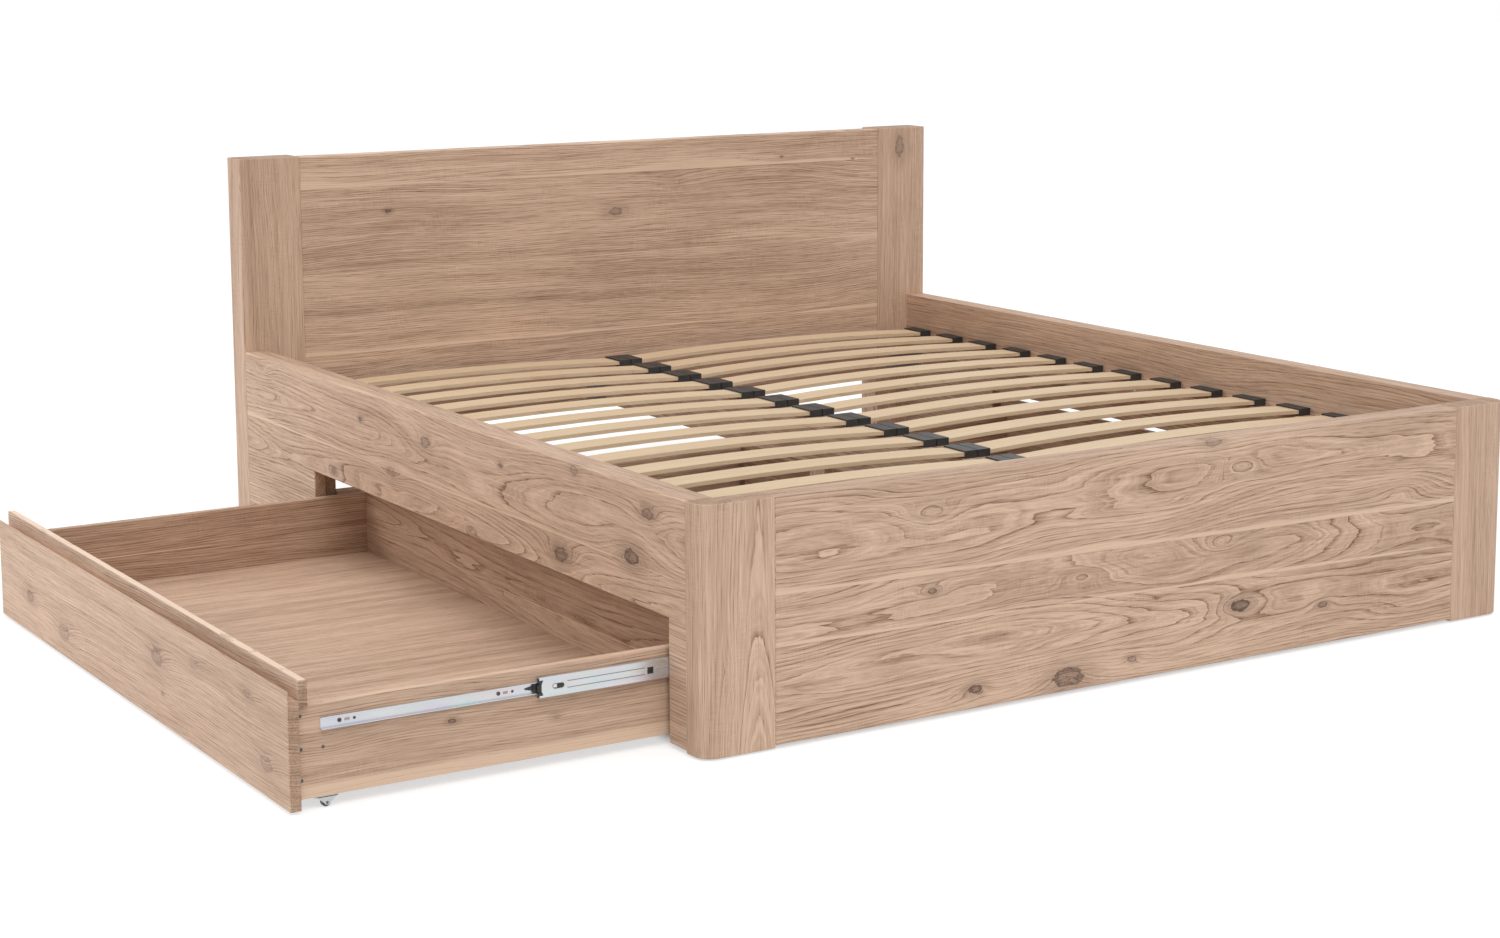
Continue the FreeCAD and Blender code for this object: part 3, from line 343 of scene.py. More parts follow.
# %% Colours of the oak
dark = dark.maths("MAXIMUM", 0.0).maths("MINIMUM", 1.0)
wood = blend_colours(dark, given["Pale Wood"], given["Deep Wood"])
wood = blend_colours(given["Sapwood"] * (0.90 - line * 0.6), wood, given["Sap Colour"])
wood = blend_colours(given["Knot"] * 0.9, wood, given["Knot Wood"])
feed(result["Colour"], wood)
feed(result["Roughness"], 0.50 + dark * 0.18 + pores * 0.08)
feed(result["Height"], 1.0 - line * 0.5 - pores * 0.5 - given["Seam"] - given["Knot"] * 0.6)
print("group oak:", len(tree.nodes), "nodes")

# %% [markdown]
# ## Putting oak on a board
#
# Every board has its own direction, joints and knots. The object's own coordinates are sorted
# into along, across and depth, so that the same oak group can run up a post and along a rail.
# The long axis also shows where the saw went across the grain, and end grain is darker. Depth
# is counted from the middle of the board, so that both of its faces lie near the same pith.

# %% Oak material
SORTED = {"X": (0, 2, 1), "Y": (1, 2, 0), "Z": (2, 0, 1), "flat": (0, 1, 2)}


def new_material(name):
    made = bpy.data.materials.new(name)
    made.use_nodes = True
    return made, made.node_tree, made.node_tree.nodes["Principled BSDF"]


def roughen(tree, shader, height, strength, distance):
    bump = tree.nodes.new("ShaderNodeBump")
    bump.inputs["Strength"].default_value = strength
    bump.inputs["Distance"].default_value = distance
    feed(bump.inputs["Height"], height)
    feed(shader.inputs["Normal"], bump.outputs[0])


def oak(name, direction, seed, joints=(), knots=(), slope=0.0, sapwood=0.03, steady=0.0,
        middle=(0.0, 0.0, 0.0), pale_top=0.0, Tone=0.0, **finish):
    """A material for one board. A knot is along, across, size, rings and core. Finish holds
    more inputs for the oak group; the faces that look up get a painted highlight."""
    made, tree, shader = new_material(name)
    given = tree.nodes.new("ShaderNodeTexCoord").outputs
    axes = split(given["Object"])
    board = [axes[number] for number in SORTED[direction]]
    board[2] = board[2] - middle[SORTED[direction][2]]
    board = join(tree, *board)
    ways = split(given["Normal"])
    facing = abs(ways[SORTED[direction][0]])
    # Painted highlight: faces that look up are made paler, as light from above shows them.
    if pale_top:
        Tone = Tone - ways[2].ramp(0.8, 0.95) * pale_top
    staves = use_group(tree, "staves", Place=board, Slope=slope, Sapwood_Width=sapwood,
                       Steady=steady, Seed=float(seed),
                       **{f"Joint_{number}": joint for number, joint in enumerate(joints, 1)})
    lift, dark = 0.0, 0.0
    ragged = noise(stretch(board, 65.0, 110.0, 110.0), detail=3.0) if knots else 0.5
    for along, across, size, rings, core in knots:
        knot = use_group(tree, "knot", Place=board, Ragged=ragged, Along=along, Across=across,
                         Size=size, Rings=rings, Core=core, Lift_Before=lift, Dark_Before=dark)
        lift, dark = knot["Lift"], knot["Dark"]
    wood = use_group(tree, "oak", Place=board, Lift=lift, Knot=dark, Seed=float(seed),
                     End_Grain=facing.ramp(0.8, 0.95), Tone=Tone, **staves, **finish)
    feed(shader.inputs["Base Color"], wood["Colour"])
    feed(shader.inputs["Roughness"], wood["Roughness"])
    shader.inputs["Specular IOR Level"].default_value = 0.35
    roughen(tree, shader, wood["Height"], 0.25, 0.0004)
    return made


def paint(node, material):
    nodes[node].data.materials.clear()
    nodes[node].data.materials.append(material)


# %% [markdown]
# ## The visible boards
#
# The knots sit where the picture shows them, in metres along and across each board. Big ones
# have a dark core, and some are only a swirl in the grain with nothing dark in the middle. The
# right rail and drawer front, which the picture doesn't show, borrow a few of them, mirrored.

# %% Knots of the visible boards
FOOT_KNOTS = [(0.245, 0.114, 0.012, 9.0, 1.0), (0.459, 0.086, 0.006, 4.0, 0.8),
              (0.669, 0.289, 0.022, 7.0, 0.0), (0.238, 0.387, 0.012, 5.0, 0.15),
              (0.190, 0.242, 0.012, 6.0, 0.0), (-0.482, 0.237, 0.005, 4.0, 0.7),
              (-0.385, 0.043, 0.008, 5.0, 0.9), (-0.174, 0.034, 0.018, 9.0, 0.8),
              (-0.486, 0.377, 0.014, 6.0, 0.12), (-0.141, 0.220, 0.014, 5.0, 0.0),
              (0.035, 0.156, 0.003, 1.0, 0.7), (-0.023, 0.046, 0.006, 3.0, 0.7),
              (0.166, 0.440, 0.010, 2.0, 0.5)]
RAIL_KNOTS = [(-0.823, 0.312, 0.014, 9.0, 0.9), (-0.558, 0.266, 0.014, 9.0, 0.8),
              (-0.882, 0.399, 0.010, 6.0, 0.7), (-0.316, 0.392, 0.005, 2.0, 0.8),
              (0.022, 0.385, 0.012, 5.0, 0.6), (0.191, 0.297, 0.012, 8.0, 0.4),
              (0.341, 0.385, 0.005, 2.0, 0.8), (0.489, 0.249, 0.008, 4.0, 0.6),
              (-0.180, 0.243, 0.006, 3.0, 0.5), (-0.614, 0.432, 0.008, 2.0, 0.5),
              (0.894, 0.416, 0.010, 6.0, 0.0)]
DRAWER_KNOTS = [(0.401, 0.082, 0.012, 6.0, 0.6), (0.188, 0.054, 0.017, 8.0, 0.5),
                (-0.344, 0.125, 0.015, 8.0, 0.6), (-0.531, 0.155, 0.010, 5.0, 0.3),
                (-0.777, 0.161, 0.008, 4.0, 0.5), (-0.368, 0.064, 0.004, 1.0, 0.6),
                (-0.853, 0.062, 0.014, 6.0, 0.5)]
SIDE_KNOTS = [(-1.365, 0.108, 0.004, 1.5, 0.9), (-1.58, 0.100, 0.012, 2.5, 0.0),
              (-1.17, 0.085, 0.004, 1.0, 0.4)]
HEAD_KNOTS = [(-0.592, 0.751, 0.004, 2.0, 0.9), (0.180, 0.783, 0.022, 5.0, 0.15),
              (0.022, 0.717, 0.010, 4.0, 0.6), (0.510, 0.830, 0.002, 0.5, 0.9),
              (0.730, 0.815, 0.002, 0.5, 0.9)]
DRAWER_HEIGHT = 0.2
RIGHT_RAIL_KNOTS = [(-along, across, *rest) for along, across, *rest in RAIL_KNOTS[:7]]
RIGHT_DRAWER_KNOTS = [(-along, DRAWER_HEIGHT - across, *rest)
                      for along, across, *rest in DRAWER_KNOTS[1:5]]
print("knots:", sum(map(len, (FOOT_KNOTS, RAIL_KNOTS, DRAWER_KNOTS, SIDE_KNOTS, HEAD_KNOTS))))

# %% [markdown]
# ## Direction, joints and grain
#
# Each board has the direction of its grain, a seed, the heights of its joints and its knots.
# Where a stave's pith lies right behind it, the grain shows arches and islands. The seeds of the
# foot panel and of the rails are ones whose random numbers put it there in every stave. The
# posts and the drawers' sides have straight grain, because their pith lies far to one side.

# %% Direction, seed, joints and knots of each board
OUTSIDE = {
    "foot_panel": ("X", 157, (0.262, 0.171), FOOT_KNOTS),
    "headboard_panel": ("X", 8, (0.812, 0.42, 0.61), HEAD_KNOTS),
    "side_rail_left": ("Y", 309, (0.30,), RAIL_KNOTS),
    "side_rail_right": ("Y", 153, (0.30,), RIGHT_RAIL_KNOTS),
    "drawer_front_left": ("Y", 17, (), DRAWER_KNOTS),
    "drawer_front_right": ("Y", 21, (), RIGHT_DRAWER_KNOTS),
    "drawer_inner_front_left": ("Y", 25, (), ()),
    "drawer_inner_front_right": ("Y", 26, (), ()),
    "drawer_side_foot_left": ("X", 29, (0.0195,), SIDE_KNOTS),
    "drawer_side_head_left": ("X", 30, (0.10,), ()),
    "drawer_side_foot_right": ("X", 31, (0.0195,), ()),
    "drawer_side_head_right": ("X", 32, (0.11,), ()),
    "drawer_back_left": ("Y", 33, (0.09,), ()),
    "drawer_back_right": ("Y", 34, (0.12,), ()),
    "head_post_left": ("Z", 41, (), [(0.80, -0.90, 0.006, 2.0, 0.0)]),
    "head_post_right": ("Z", 42, (), [(0.841, 0.879, 0.014, 4.0, 0.6)]),
    "foot_post_left": ("Z", 43, (), [(0.15, -0.905, 0.008, 5.0, 0.0)]),
    "foot_post_right": ("Z", 44, (), [(0.24, 0.90, 0.012, 6.0, 0.0)]),
}
print("boards with glued joints:", sum(bool(joints) for _, _, joints, _ in OUTSIDE.values()))

# %% Grain of each kind of board
FAR_SIDE = 0.9
STRAIGHT = {"Pith_Side": FAR_SIDE, "Wander": 4.0}
POST = {"Pith_Side": FAR_SIDE, "Wander": 2.0, "Ring_Width": 0.0034}
FINISH = {
    "head_post": {**POST, "Figure": 1.15},
    "foot_post": {**POST, "Figure": 1.10},
    "foot_panel": {"slope": -0.012, "Wander": 11.0, "Figure": 1.4, "Pith_Side": -0.22,
                   "Pith_Spread": 0.33},
    "headboard_panel": {"Figure": 1.6, "Pith_Spread": 0.45, "Ring_Width": 0.0046},
    "side_rail": {"sapwood": 0.014, "Wander": 9.0, "Figure": 1.25, "Pith_Side": -0.305,
                  "Pith_Spread": 0.30},
    "drawer_front": {"Pith_Side": 0.25, "Pith_Spread": 0.0, "Wander": 9.0, "Ring_Width": 0.0046,
                     "Knot_Wood": tint(128, 98, 85), "Tone": -0.04, "Figure": 1.15},
    # The foot side's top edge gets a painted highlight.
    "drawer_side_foot": {**STRAIGHT, "sapwood": 0.028, "steady": 1.0, "pale_top": 0.45,
                         "Tone": 0.05, "Figure": 1.1},
    # The head side and back of a drawer get a darker Tone: painted shade inside the drawer.
    "drawer_side_head": {**STRAIGHT, "sapwood": 0.004, "Tone": 0.30},
    "drawer_back": {"Pith_Side": -0.12, "Pith_Spread": 0.0, "sapwood": 0.004, "Tone": 0.24,
                    "Figure": 1.0},
    # Painted highlight on the inner front's top: a paler light colour, with Tone darkening the rest back.
    "drawer_inner_front": {**STRAIGHT, "pale_top": 0.65, "Pale_Wood": tint(242, 214, 190),
                           "Tone": 0.18, "Figure": 1.1},
}
for node, (direction, seed, joints, knots) in OUTSIDE.items():
    middle = [(low + high) / 2 for low, high in zip(*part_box(node))]
    finish = next((finish for start, finish in FINISH.items() if node.startswith(start)), {})
    paint(node, oak("oak_" + node, direction, seed, joints, knots, middle=middle, **finish))
print("oak on", len(OUTSIDE), "visible boards")

# %% [markdown]
# ## The inner boards
#
# Nobody pays for fine boards where they are hidden. The liners, ledges, beam and slide carriers
# are plainer and a little darker, the drawer bottoms are thin veneered sheets with a fine
# straight grain, and the sprung slats are pale birch.

# %% Oak and birch inside the bed
INSIDE = {"rail_liner_left": "Y", "rail_liner_right": "Y", "foot_liner": "X", "slat_ledge_left": "Y",
          "slat_ledge_right": "Y", "centre_beam": "Y", "centre_leg": "Z", "runner_board_foot": "X",
          "runner_board_head": "X", "runner_cleats": "Z"}
for seed, (node, direction) in enumerate(INSIDE.items(), start=50):
    paint(node, oak("oak_" + node, direction, seed, Pith_Side=FAR_SIDE, Tone=0.08))

veneer = oak("oak_veneer", "flat", 70, Ring_Width=0.0045, Pith_Side=FAR_SIDE, Figure=1.8)
birch = oak("birch", "flat", 71, Ring_Width=0.006, Pith_Side=FAR_SIDE, Figure=0.55,
            Pale_Wood=tint(236, 214, 182), Deep_Wood=tint(190, 152, 112))
paint("drawer_bottom_left", veneer)
paint("drawer_bottom_right", veneer)
paint("bed_slats", birch)
print("plain wood on", len(INSIDE) + 3, "hidden boards")

# %% [markdown]
# ## Where the small parts go
#
# Everything on a slide is measured from the outer face of its rail. The left drawer is pulled
# out by 700 mm, and the middle member follows at half that, so a place on the slide turns into
# a place in the room by one line of arithmetic. Each drawer has a slide near its foot end and
# one near its head end. Depth counts from the board that carries the slide to the drawer.

# %% Places along the slides
ENDS = {"foot": (-0.952, 1), "head": (0.599, -1)}
SIDES = {"left": (-1, 0.7), "right": (1, 0.0)}
RAIL_FACE = 0.958
SLIDE_HEIGHT = 0.142


def on_slide(side, out, distance):
    """The X of a place behind the rail's face, on a member that is pulled out by some metres."""
    return side * (RAIL_FACE + out - distance)


for word, (side, out) in SIDES.items():
    print(word, "drawer's slides start at x =", round(on_slide(side, out, 0.0), 3))

# %% [markdown]
# ## Steel and plastic
#
# The slides are rolled from zinc-plated strip, which is bright, a little blue and has faint
# rainbow clouds. The plastics are moulded: matte black for the release levers and the stops,
# milky white for the roller forks and grey for their wheels. One group for the metals and one
# for the plastics are enough, because their members differ only in a colour and a few values.

# %% Group: zinc plate
tree, given, result = new_group(
    "zinc_plate", {"Place": (0.0, 0.0, 0.0), "Brushed": 1.0, "Zinc": tint(214, 217, 222)},
    {"Colour": "Color", "Roughness": "Float", "Height": "Float"})
rainbow = tree.nodes.new("ShaderNodeTexNoise")
feed(rainbow.inputs["Vector"], stretch(given["Place"], 14.0, 60.0, 60.0))
rainbow.inputs["Scale"].default_value = 1.0
rainbow.inputs["Detail"].default_value = 1.0
rainbow_share = 0.16
brush = noise(stretch(given["Place"], 20.0, 2500.0, 2500.0)) - 0.5
feed(result["Colour"], blend_colours(rainbow_share, given["Zinc"], rainbow.outputs["Color"]))
feed(result["Roughness"], brush * given["Brushed"] * 0.25 + 0.30)
feed(result["Height"], brush * given["Brushed"])
print("group zinc plate:", len(tree.nodes), "nodes")

# %% Group: moulded plastic
tree, given, result = new_group(
    "moulded", {"Place": (0.0, 0.0, 0.0), "Plastic": tint(30, 30, 32), "Grain": 1.0},
    {"Colour": "Color", "Roughness": "Float", "Height": "Float"})
patchy = noise(given["Place"], scale=60.0)
feed(result["Colour"], blend_colours(patchy * 0.12, given["Plastic"], tint(150, 150, 150)))
feed(result["Roughness"], 0.38 + patchy * 0.2)
feed(result["Height"], noise(given["Place"], scale=900.0) * given["Grain"])
print("group moulded plastic:", len(tree.nodes), "nodes")

# %% Hardware materials
RIB_OFFSET = 0.0058


def hardware(name, group, metallic=0.0, bump=0.1, ribs=None, **finish):
    """A steel or plastic; ribs are two pressed lines along X, from one place to another, and
    painted shade darkens their grooves.
    """
    made, tree, shader = new_material(name)
    place = tree.nodes.new("ShaderNodeTexCoord").outputs["Object"]
    surface = use_group(tree, group, Place=place, **finish)
    colour, height = surface["Colour"], surface["Height"]
    if ribs:
        x, _, z = split(place)
        middle, reach = sum(ribs) / 2, abs(ribs[1] - ribs[0]) / 2
        # A pressed groove dips in the bump, and its colour is darkened as painted shade.
        groove_and_shade = abs(abs(z - SLIDE_HEIGHT) - RIB_OFFSET).ramp(0.0004, 0.0012, 1.0, 0.0)
        groove_and_shade = groove_and_shade * abs(x - middle).ramp(reach - 0.002, reach, 1.0, 0.0)
        colour = blend_colours(groove_and_shade * 0.7, colour, tint(72, 74, 80))
        height = height - groove_and_shade * 2.0
    feed(shader.inputs["Base Color"], colour)
    feed(shader.inputs["Roughness"], surface["Roughness"])
    shader.inputs["Metallic"].default_value = metallic
    roughen(tree, shader, height, bump, 0.0002)
    return made


# %% Hardware on its nodes
zinc = hardware("zinc_slide", "zinc_plate", metallic=0.85)
bracket_zinc = hardware("zinc_bracket", "zinc_plate", metallic=0.9, Brushed=0.4, Zinc=tint(196, 198, 200))
ball_steel = hardware("ball_steel", "zinc_plate", metallic=1.0, Brushed=0.2, Zinc=tint(225, 226, 228))
black = hardware("black_plastic", "moulded", Plastic=tint(28, 28, 30))
milky = hardware("milky_plastic", "moulded", bump=0.03, Plastic=tint(205, 209, 212))
wheel_white = hardware("white_wheel", "moulded", bump=0.03, Plastic=tint(112, 112, 110))
burnished = hardware("burnished_steel", "zinc_plate", metallic=0.4, Brushed=0.4, Zinc=tint(50, 43, 38))
pad_grey = hardware("grey_pad", "moulded", bump=0.4, Plastic=tint(96, 92, 88))

HARDWARE = {"slide_cabinet": zinc, "slide_middle": zinc, "slide_drawer": zinc, "slide_levers": black,
            "slide_bumpers": black, "outer_cages": ball_steel, "inner_cages": ball_steel,
            "beam_hangers": bracket_zinc, "corner_brackets": bracket_zinc, "frame_bolts": bracket_zinc,
            "roller_forks": milky, "roller_wheels": wheel_white, "slat_holders": black,
            "floor_glides": pad_grey}
for node in nodes:
    for start, material in HARDWARE.items():
        if node.startswith(start):
            paint(node, material)
for word, (side, out) in SIDES.items():
    ribs = [on_slide(side, out / 2, distance) for distance in (0.152, 0.304)]
    ribbed = hardware("zinc_ribbed_" + word, "zinc_plate", metallic=0.85, ribs=ribs)
    paint("slide_middle_foot_" + word, ribbed)
    paint("slide_middle_head_" + word, ribbed)
print("hardware materials:", len(set(HARDWARE.values())) + len(SIDES))

# %% [markdown]
# ## Screws and rivets
#
# Screws are small, but without them the slides look glued on. One pan head with a cross recess
# is turned as a helper, and Geometry Nodes copies it onto a cloud of points. Each point says
# which way its screw faces, and a random spin keeps the crosses from lining up. Sixty heads
# could be placed by hand, but the node tree lets one change of the head reach them all.

# %% Turned heads
STEPS = 16
CROSS_REACH = 0.26


def turned_head(name, profile, recess=0.0):
    """Turn a profile of (radius, height) round Z, and press a cross into its middle."""
    shape = bmesh.new()
    rows = []
    for radius, height in profile:
        inner = 1.0 - radius / CROSS_REACH
        row = []
        for step in range(STEPS):
            on_cross = inner > 0 and step % 4 == 0
            angle = step * 2 * pi / STEPS
            level = height - recess * max(inner, 0.4) * on_cross
            row.append(shape.verts.new((radius * cos(angle), radius * sin(angle), level)))
        rows.append(row)
    for low, high in zip(rows, rows[1:]):
        for step in range(STEPS):
            after = (step + 1) % STEPS
            shape.faces.new((low[step], low[after], high[after], high[step]))
    shape.faces.new(rows[0][::-1])
    shape.faces.new(rows[-1])
    mesh = bpy.data.meshes.new(name)
    shape.to_mesh(mesh)
    shape.free()
    head = bpy.data.objects.new(name, mesh)
    bpy.context.scene.collection.objects.link(head)
    return head


pan_head = turned_head("pan_head", [(0.50, 0.0), (0.50, 0.35), (0.46, 0.62), (0.36, 0.86),
                                    (0.25, 0.97), (0.13, 1.0), (0.05, 1.0)], recess=0.8)
rivet_head = turned_head("rivet_head", [(0.50, 0.0), (0.49, 0.5), (0.42, 0.9), (0.25, 1.0)])
print("pan head:", len(pan_head.data.polygons), "faces")

# %% A node tree that places heads
heads = bpy.data.node_groups.new("place_heads", "GeometryNodeTree")
for word, kind in (("Points", "Geometry"), ("Head", "Object"), ("Head Width", "Float"),
                   ("Head Height", "Float"), ("Spin Seed", "Int"), ("Finish", "Material")):
    heads.interface.new_socket(word, in_out="INPUT", socket_type="NodeSocket" + kind)
heads.interface.new_socket("Heads", in_out="OUTPUT", socket_type="NodeSocketGeometry")
start, end = heads.nodes.new("NodeGroupInput"), heads.nodes.new("NodeGroupOutput")
shape = heads.nodes.new("GeometryNodeObjectInfo")
shape.inputs["As Instance"].default_value = True
feed(shape.inputs["Object"], start.outputs["Head"])
scale = join(heads, start.outputs["Head Width"], start.outputs["Head Width"],
             start.outputs["Head Height"])
facing = heads.nodes.new("GeometryNodeInputNamedAttribute")
facing.data_type = "FLOAT_VECTOR"
facing.inputs["Name"].default_value = "facing"
upright = heads.nodes.new("FunctionNodeAlignRotationToVector")
upright.axis = "Z"
feed(upright.inputs["Vector"], facing.outputs["Attribute"])
turn = heads.nodes.new("FunctionNodeRandomValue")
turn.inputs[3].default_value = pi
feed(turn.inputs["Seed"], start.outputs["Spin Seed"])
spin = heads.nodes.new("FunctionNodeEulerToRotation")
feed(spin.inputs[0], join(heads, 0.0, 0.0, turn.outputs[1]))
spun = heads.nodes.new("FunctionNodeRotateRotation")
spun.rotation_space = "LOCAL"
feed(spun.inputs["Rotation"], upright.outputs[0])
feed(spun.inputs["Rotate By"], spin.outputs[0])
copies = heads.nodes.new("GeometryNodeInstanceOnPoints")
for word, source in (("Points", start.outputs["Points"]), ("Instance", shape.outputs["Geometry"]),
                     ("Rotation", spun.outputs[0]), ("Scale", scale)):
    feed(copies.inputs[word], source)
real = heads.nodes.new("GeometryNodeRealizeInstances")
feed(real.inputs[0], copies.outputs[0])
dressed = heads.nodes.new("GeometryNodeSetMaterial")
feed(dressed.inputs["Geometry"], real.outputs[0])
feed(dressed.inputs["Material"], start.outputs["Finish"])
feed(end.inputs[0], dressed.outputs[0])
print("node tree for heads:", len(heads.nodes), "nodes")


def place_heads(name, body, head, spots, width, height, finish):
    """Copy a head to spots, each a place and the way it faces, as one piece on a body."""
    mesh = bpy.data.meshes.new(name)
    mesh.from_pydata([place for place, _ in spots], [], [])
    ways = mesh.attributes.new("facing", "FLOAT_VECTOR", "POINT")
    for number, (_, way) in enumerate(spots):
        ways.data[number].vector = way
    piece = bpy.data.objects.new(name, mesh)
    bpy.context.scene.collection.objects.link(piece)
    modifier = piece.modifiers.new("heads", "NODES")
    modifier.node_group = heads
    values = {"Head": head, "Head Width": width, "Head Height": height, "Spin Seed": 7,
              "Finish": finish}
    for item in heads.interface.items_tree:
        if item.name in values:
            modifier[item.identifier] = values[item.name]
    ready = piece.evaluated_get(bpy.context.evaluated_depsgraph_get())
    piece.data = bpy.data.meshes.new_from_object(ready)
    piece.modifiers.clear()
    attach(piece, body)
    print(name, len(spots), "heads,", len(piece.data.polygons), "faces")


# %% [markdown]
# ## Where the screws go
#
# A slide's drawer member is held by two large screws, each with a small one beside it. Four
# countersunk ones hold the drawer's front corner together, and a rivet sits on the middle
# member. A spot is a place and the way its head faces, which is back towards the carrying board.

# %% Screws on slides, drawers and ledges
MIDDLE_FACE, MEMBER_FACE, DRAWER_FACE = 0.0018, 0.0115, 0.0127


def spot(x, end, depth, height=SLIDE_HEIGHT):
    face, way = end
    return (x, face + way * depth, height), (0, -way, 0)


for word, (side, out) in SIDES.items():
    slide_screws, small_screws, box_screws, rivets = [], [], [], []
    for end in ENDS.values():
        for distance in (0.093, 0.378):
            slide_screws.append(spot(on_slide(side, out, distance), end, MEMBER_FACE))
            beside = on_slide(side, out, distance + 0.026)
            small_screws.append(spot(beside, end, MEMBER_FACE + 0.0002))
        for distance, height in ((0.026, 0.158), (0.026, 0.103), (0.026, 0.051), (0.064, 0.102)):
            box_screws.append(spot(on_slide(side, out, distance), end, DRAWER_FACE, height))
        rivets.append(spot(on_slide(side, out / 2, 0.327), end, MIDDLE_FACE))
    place_heads("slide_screws_" + word, "drawer_" + word, pan_head, slide_screws,
                width=0.0072, height=0.0018, finish=burnished)
    place_heads("small_screws_" + word, "drawer_" + word, pan_head, small_screws,
                width=0.0050, height=0.0006, finish=burnished)
    place_heads("box_screws_" + word, "drawer_" + word, pan_head, box_screws,
                width=0.0060, height=0.0005, finish=burnished)
    place_heads("slide_rivets_" + word, "slide_middle_" + word, rivet_head, rivets,
                width=0.0055, height=0.0004, finish=bracket_zinc)

LEDGE_FACE, LEDGE_HEIGHT, SCREW_PITCH = 0.865, 0.325, 0.18
ledge_screws = [((side * LEDGE_FACE, -0.9 + SCREW_PITCH * number, LEDGE_HEIGHT), (-side, 0, 0))
                for side in (-1, 1) for number in range(11)]
place_heads("ledge_screws", "frame", pan_head, ledge_screws,
            width=0.008, height=0.002, finish=bracket_zinc)

# %% [markdown]
# ## Catches in the middle slide member
#
# The middle member has an oval slot and a square window, each with a black plastic insert, and
# a waisted black clip over its front edge that stops the drawer softly. They are thin plates
# with rounded corners, so each one is an outline that is pushed through to a small depth.

# %% Plates with rounded corners
def rounded(x, z, half_length, half_height, radius):
    """The outline of a rectangle with rounded corners, as X and Z."""
    corners = ((1, 1, 0), (-1, 1, 90), (-1, -1, 180), (1, -1, 270))
    return [(x + way * (half_length - radius) + radius * cos(radians(first + step * 22.5)),
             z + up * (half_height - radius) + radius * sin(radians(first + step * 22.5)))
            for way, up, first in corners for step in range(5)]


def push_through(shape, outline, low, high, opening=None):
    """A plate between two Y levels, or a collar where it has an opening."""
    loops = [[shape.verts.new((x, y, z)) for x, z in ring]
             for ring in (outline, opening or ()) for y in (low, high)]
    count = len(outline)
    for step in range(count):
        after = (step + 1) % count
        near, far, near_in, far_in = loops
        shape.faces.new((near[step], near[after], far[after], far[step]))
        if opening:
            shape.faces.new((near_in[step], near_in[after], far_in[after], far_in[step]))
            shape.faces.new((near[step], near[after], near_in[after], near_in[step]))
            shape.faces.new((far[step], far[after], far_in[after], far_in[step]))
    if not opening:
        shape.faces.new(loops[0])
        shape.faces.new(loops[1])


def finish_shape(shape, name, body, material):
    bmesh.ops.recalc_face_normals(shape, faces=shape.faces)
    mesh = bpy.data.meshes.new(name)
    shape.to_mesh(mesh)
    shape.free()
    mesh.materials.append(material)
    piece = bpy.data.objects.new(name, mesh)
    bpy.context.scene.collection.objects.link(piece)
    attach(piece, body)
    print(name, len(mesh.polygons), "faces")
    return piece


# %% Inserts, window frames and clips
SLOT, CATCH, WINDOW, CLIP, WRAP = 0.136, 0.1405, 0.314, 0.102, 0.098
# Each row is a distance, the two depths, and the half length, half height and corner radius of
# the outline, and of the opening where there is one
COLLARS = [(SLOT, 0.0019, 0.0029, (0.0119, 0.0054, 0.0003), (0.0112, 0.0045, 0.0045))]
INSERTS = [(SLOT, 0.0020, 0.0034, (0.0111, 0.0044, 0.0044), (0.0101, 0.0034, 0.0034)),
           (CATCH, 0.0019, 0.0050, (0.0062, 0.0041, 0.0040), None),
           (WINDOW, 0.0018, 0.0036, (0.0059, 0.0059, 0.0005), (0.0034, 0.0034, 0.0010)),
           (WINDOW, 0.0036, 0.0042, (0.0056, 0.0056, 0.0005), None),
           (WRAP, 0.0018, 0.0050, (0.0018, 0.0060, 0.0004), None)]
WAISTED = [(-0.005, -0.013), (0.005, -0.013), (0.002, -0.006), (0.002, 0.006),
           (0.005, 0.013), (-0.005, 0.013), (-0.002, 0.006), (-0.002, -0.006)]

for word, (side, out) in SIDES.items():
    steel, plastic = bmesh.new(), bmesh.new()
    for face, way in ENDS.values():
        for shape, rows in ((steel, COLLARS), (plastic, INSERTS)):
            for distance, low, high, outline, opening in rows:
                x = on_slide(side, out / 2, distance)
                rings = [rounded(x, SLIDE_HEIGHT, *ring) for ring in (outline, opening) if ring]
                push_through(shape, rings[0], face + way * low, face + way * high, *rings[1:])
        clip_x = on_slide(side, out / 2, CLIP)
        clip = [(clip_x + x, SLIDE_HEIGHT + z) for x, z in WAISTED]
        push_through(plastic, clip, face + way * 0.00135, face + way * MIDDLE_FACE)
    finish_shape(steel, "slot_collars_" + word, "slide_middle_" + word, zinc)
    finish_shape(plastic, "slide_catches_" + word, "slide_middle_" + word, black)

# %% [markdown]
# ## Roller forks
#
# Each drawer also runs on two small rollers. A fork holds each of them under the drawer. It has
# a flat plate under the drawer side and two cheeks that narrow to a round nose at the axle, so
# the wheel shows on both sides of the nose. The plate has the size of the fork's own box.

# %% Plates, cheeks and axles
ROLLER_LINES = (-0.9303, 0.5773)
AXLE_HEIGHT = 0.008
FORK_HALF, CHEEK_INSIDE, PLATE = 0.0085, 0.0061, 0.0025
NOSE_HEIGHT, NOSE_RADIUS = 0.0095, 0.0055
AXLE_RADIUS, AXLE_HALF = 0.0015, 0.0080

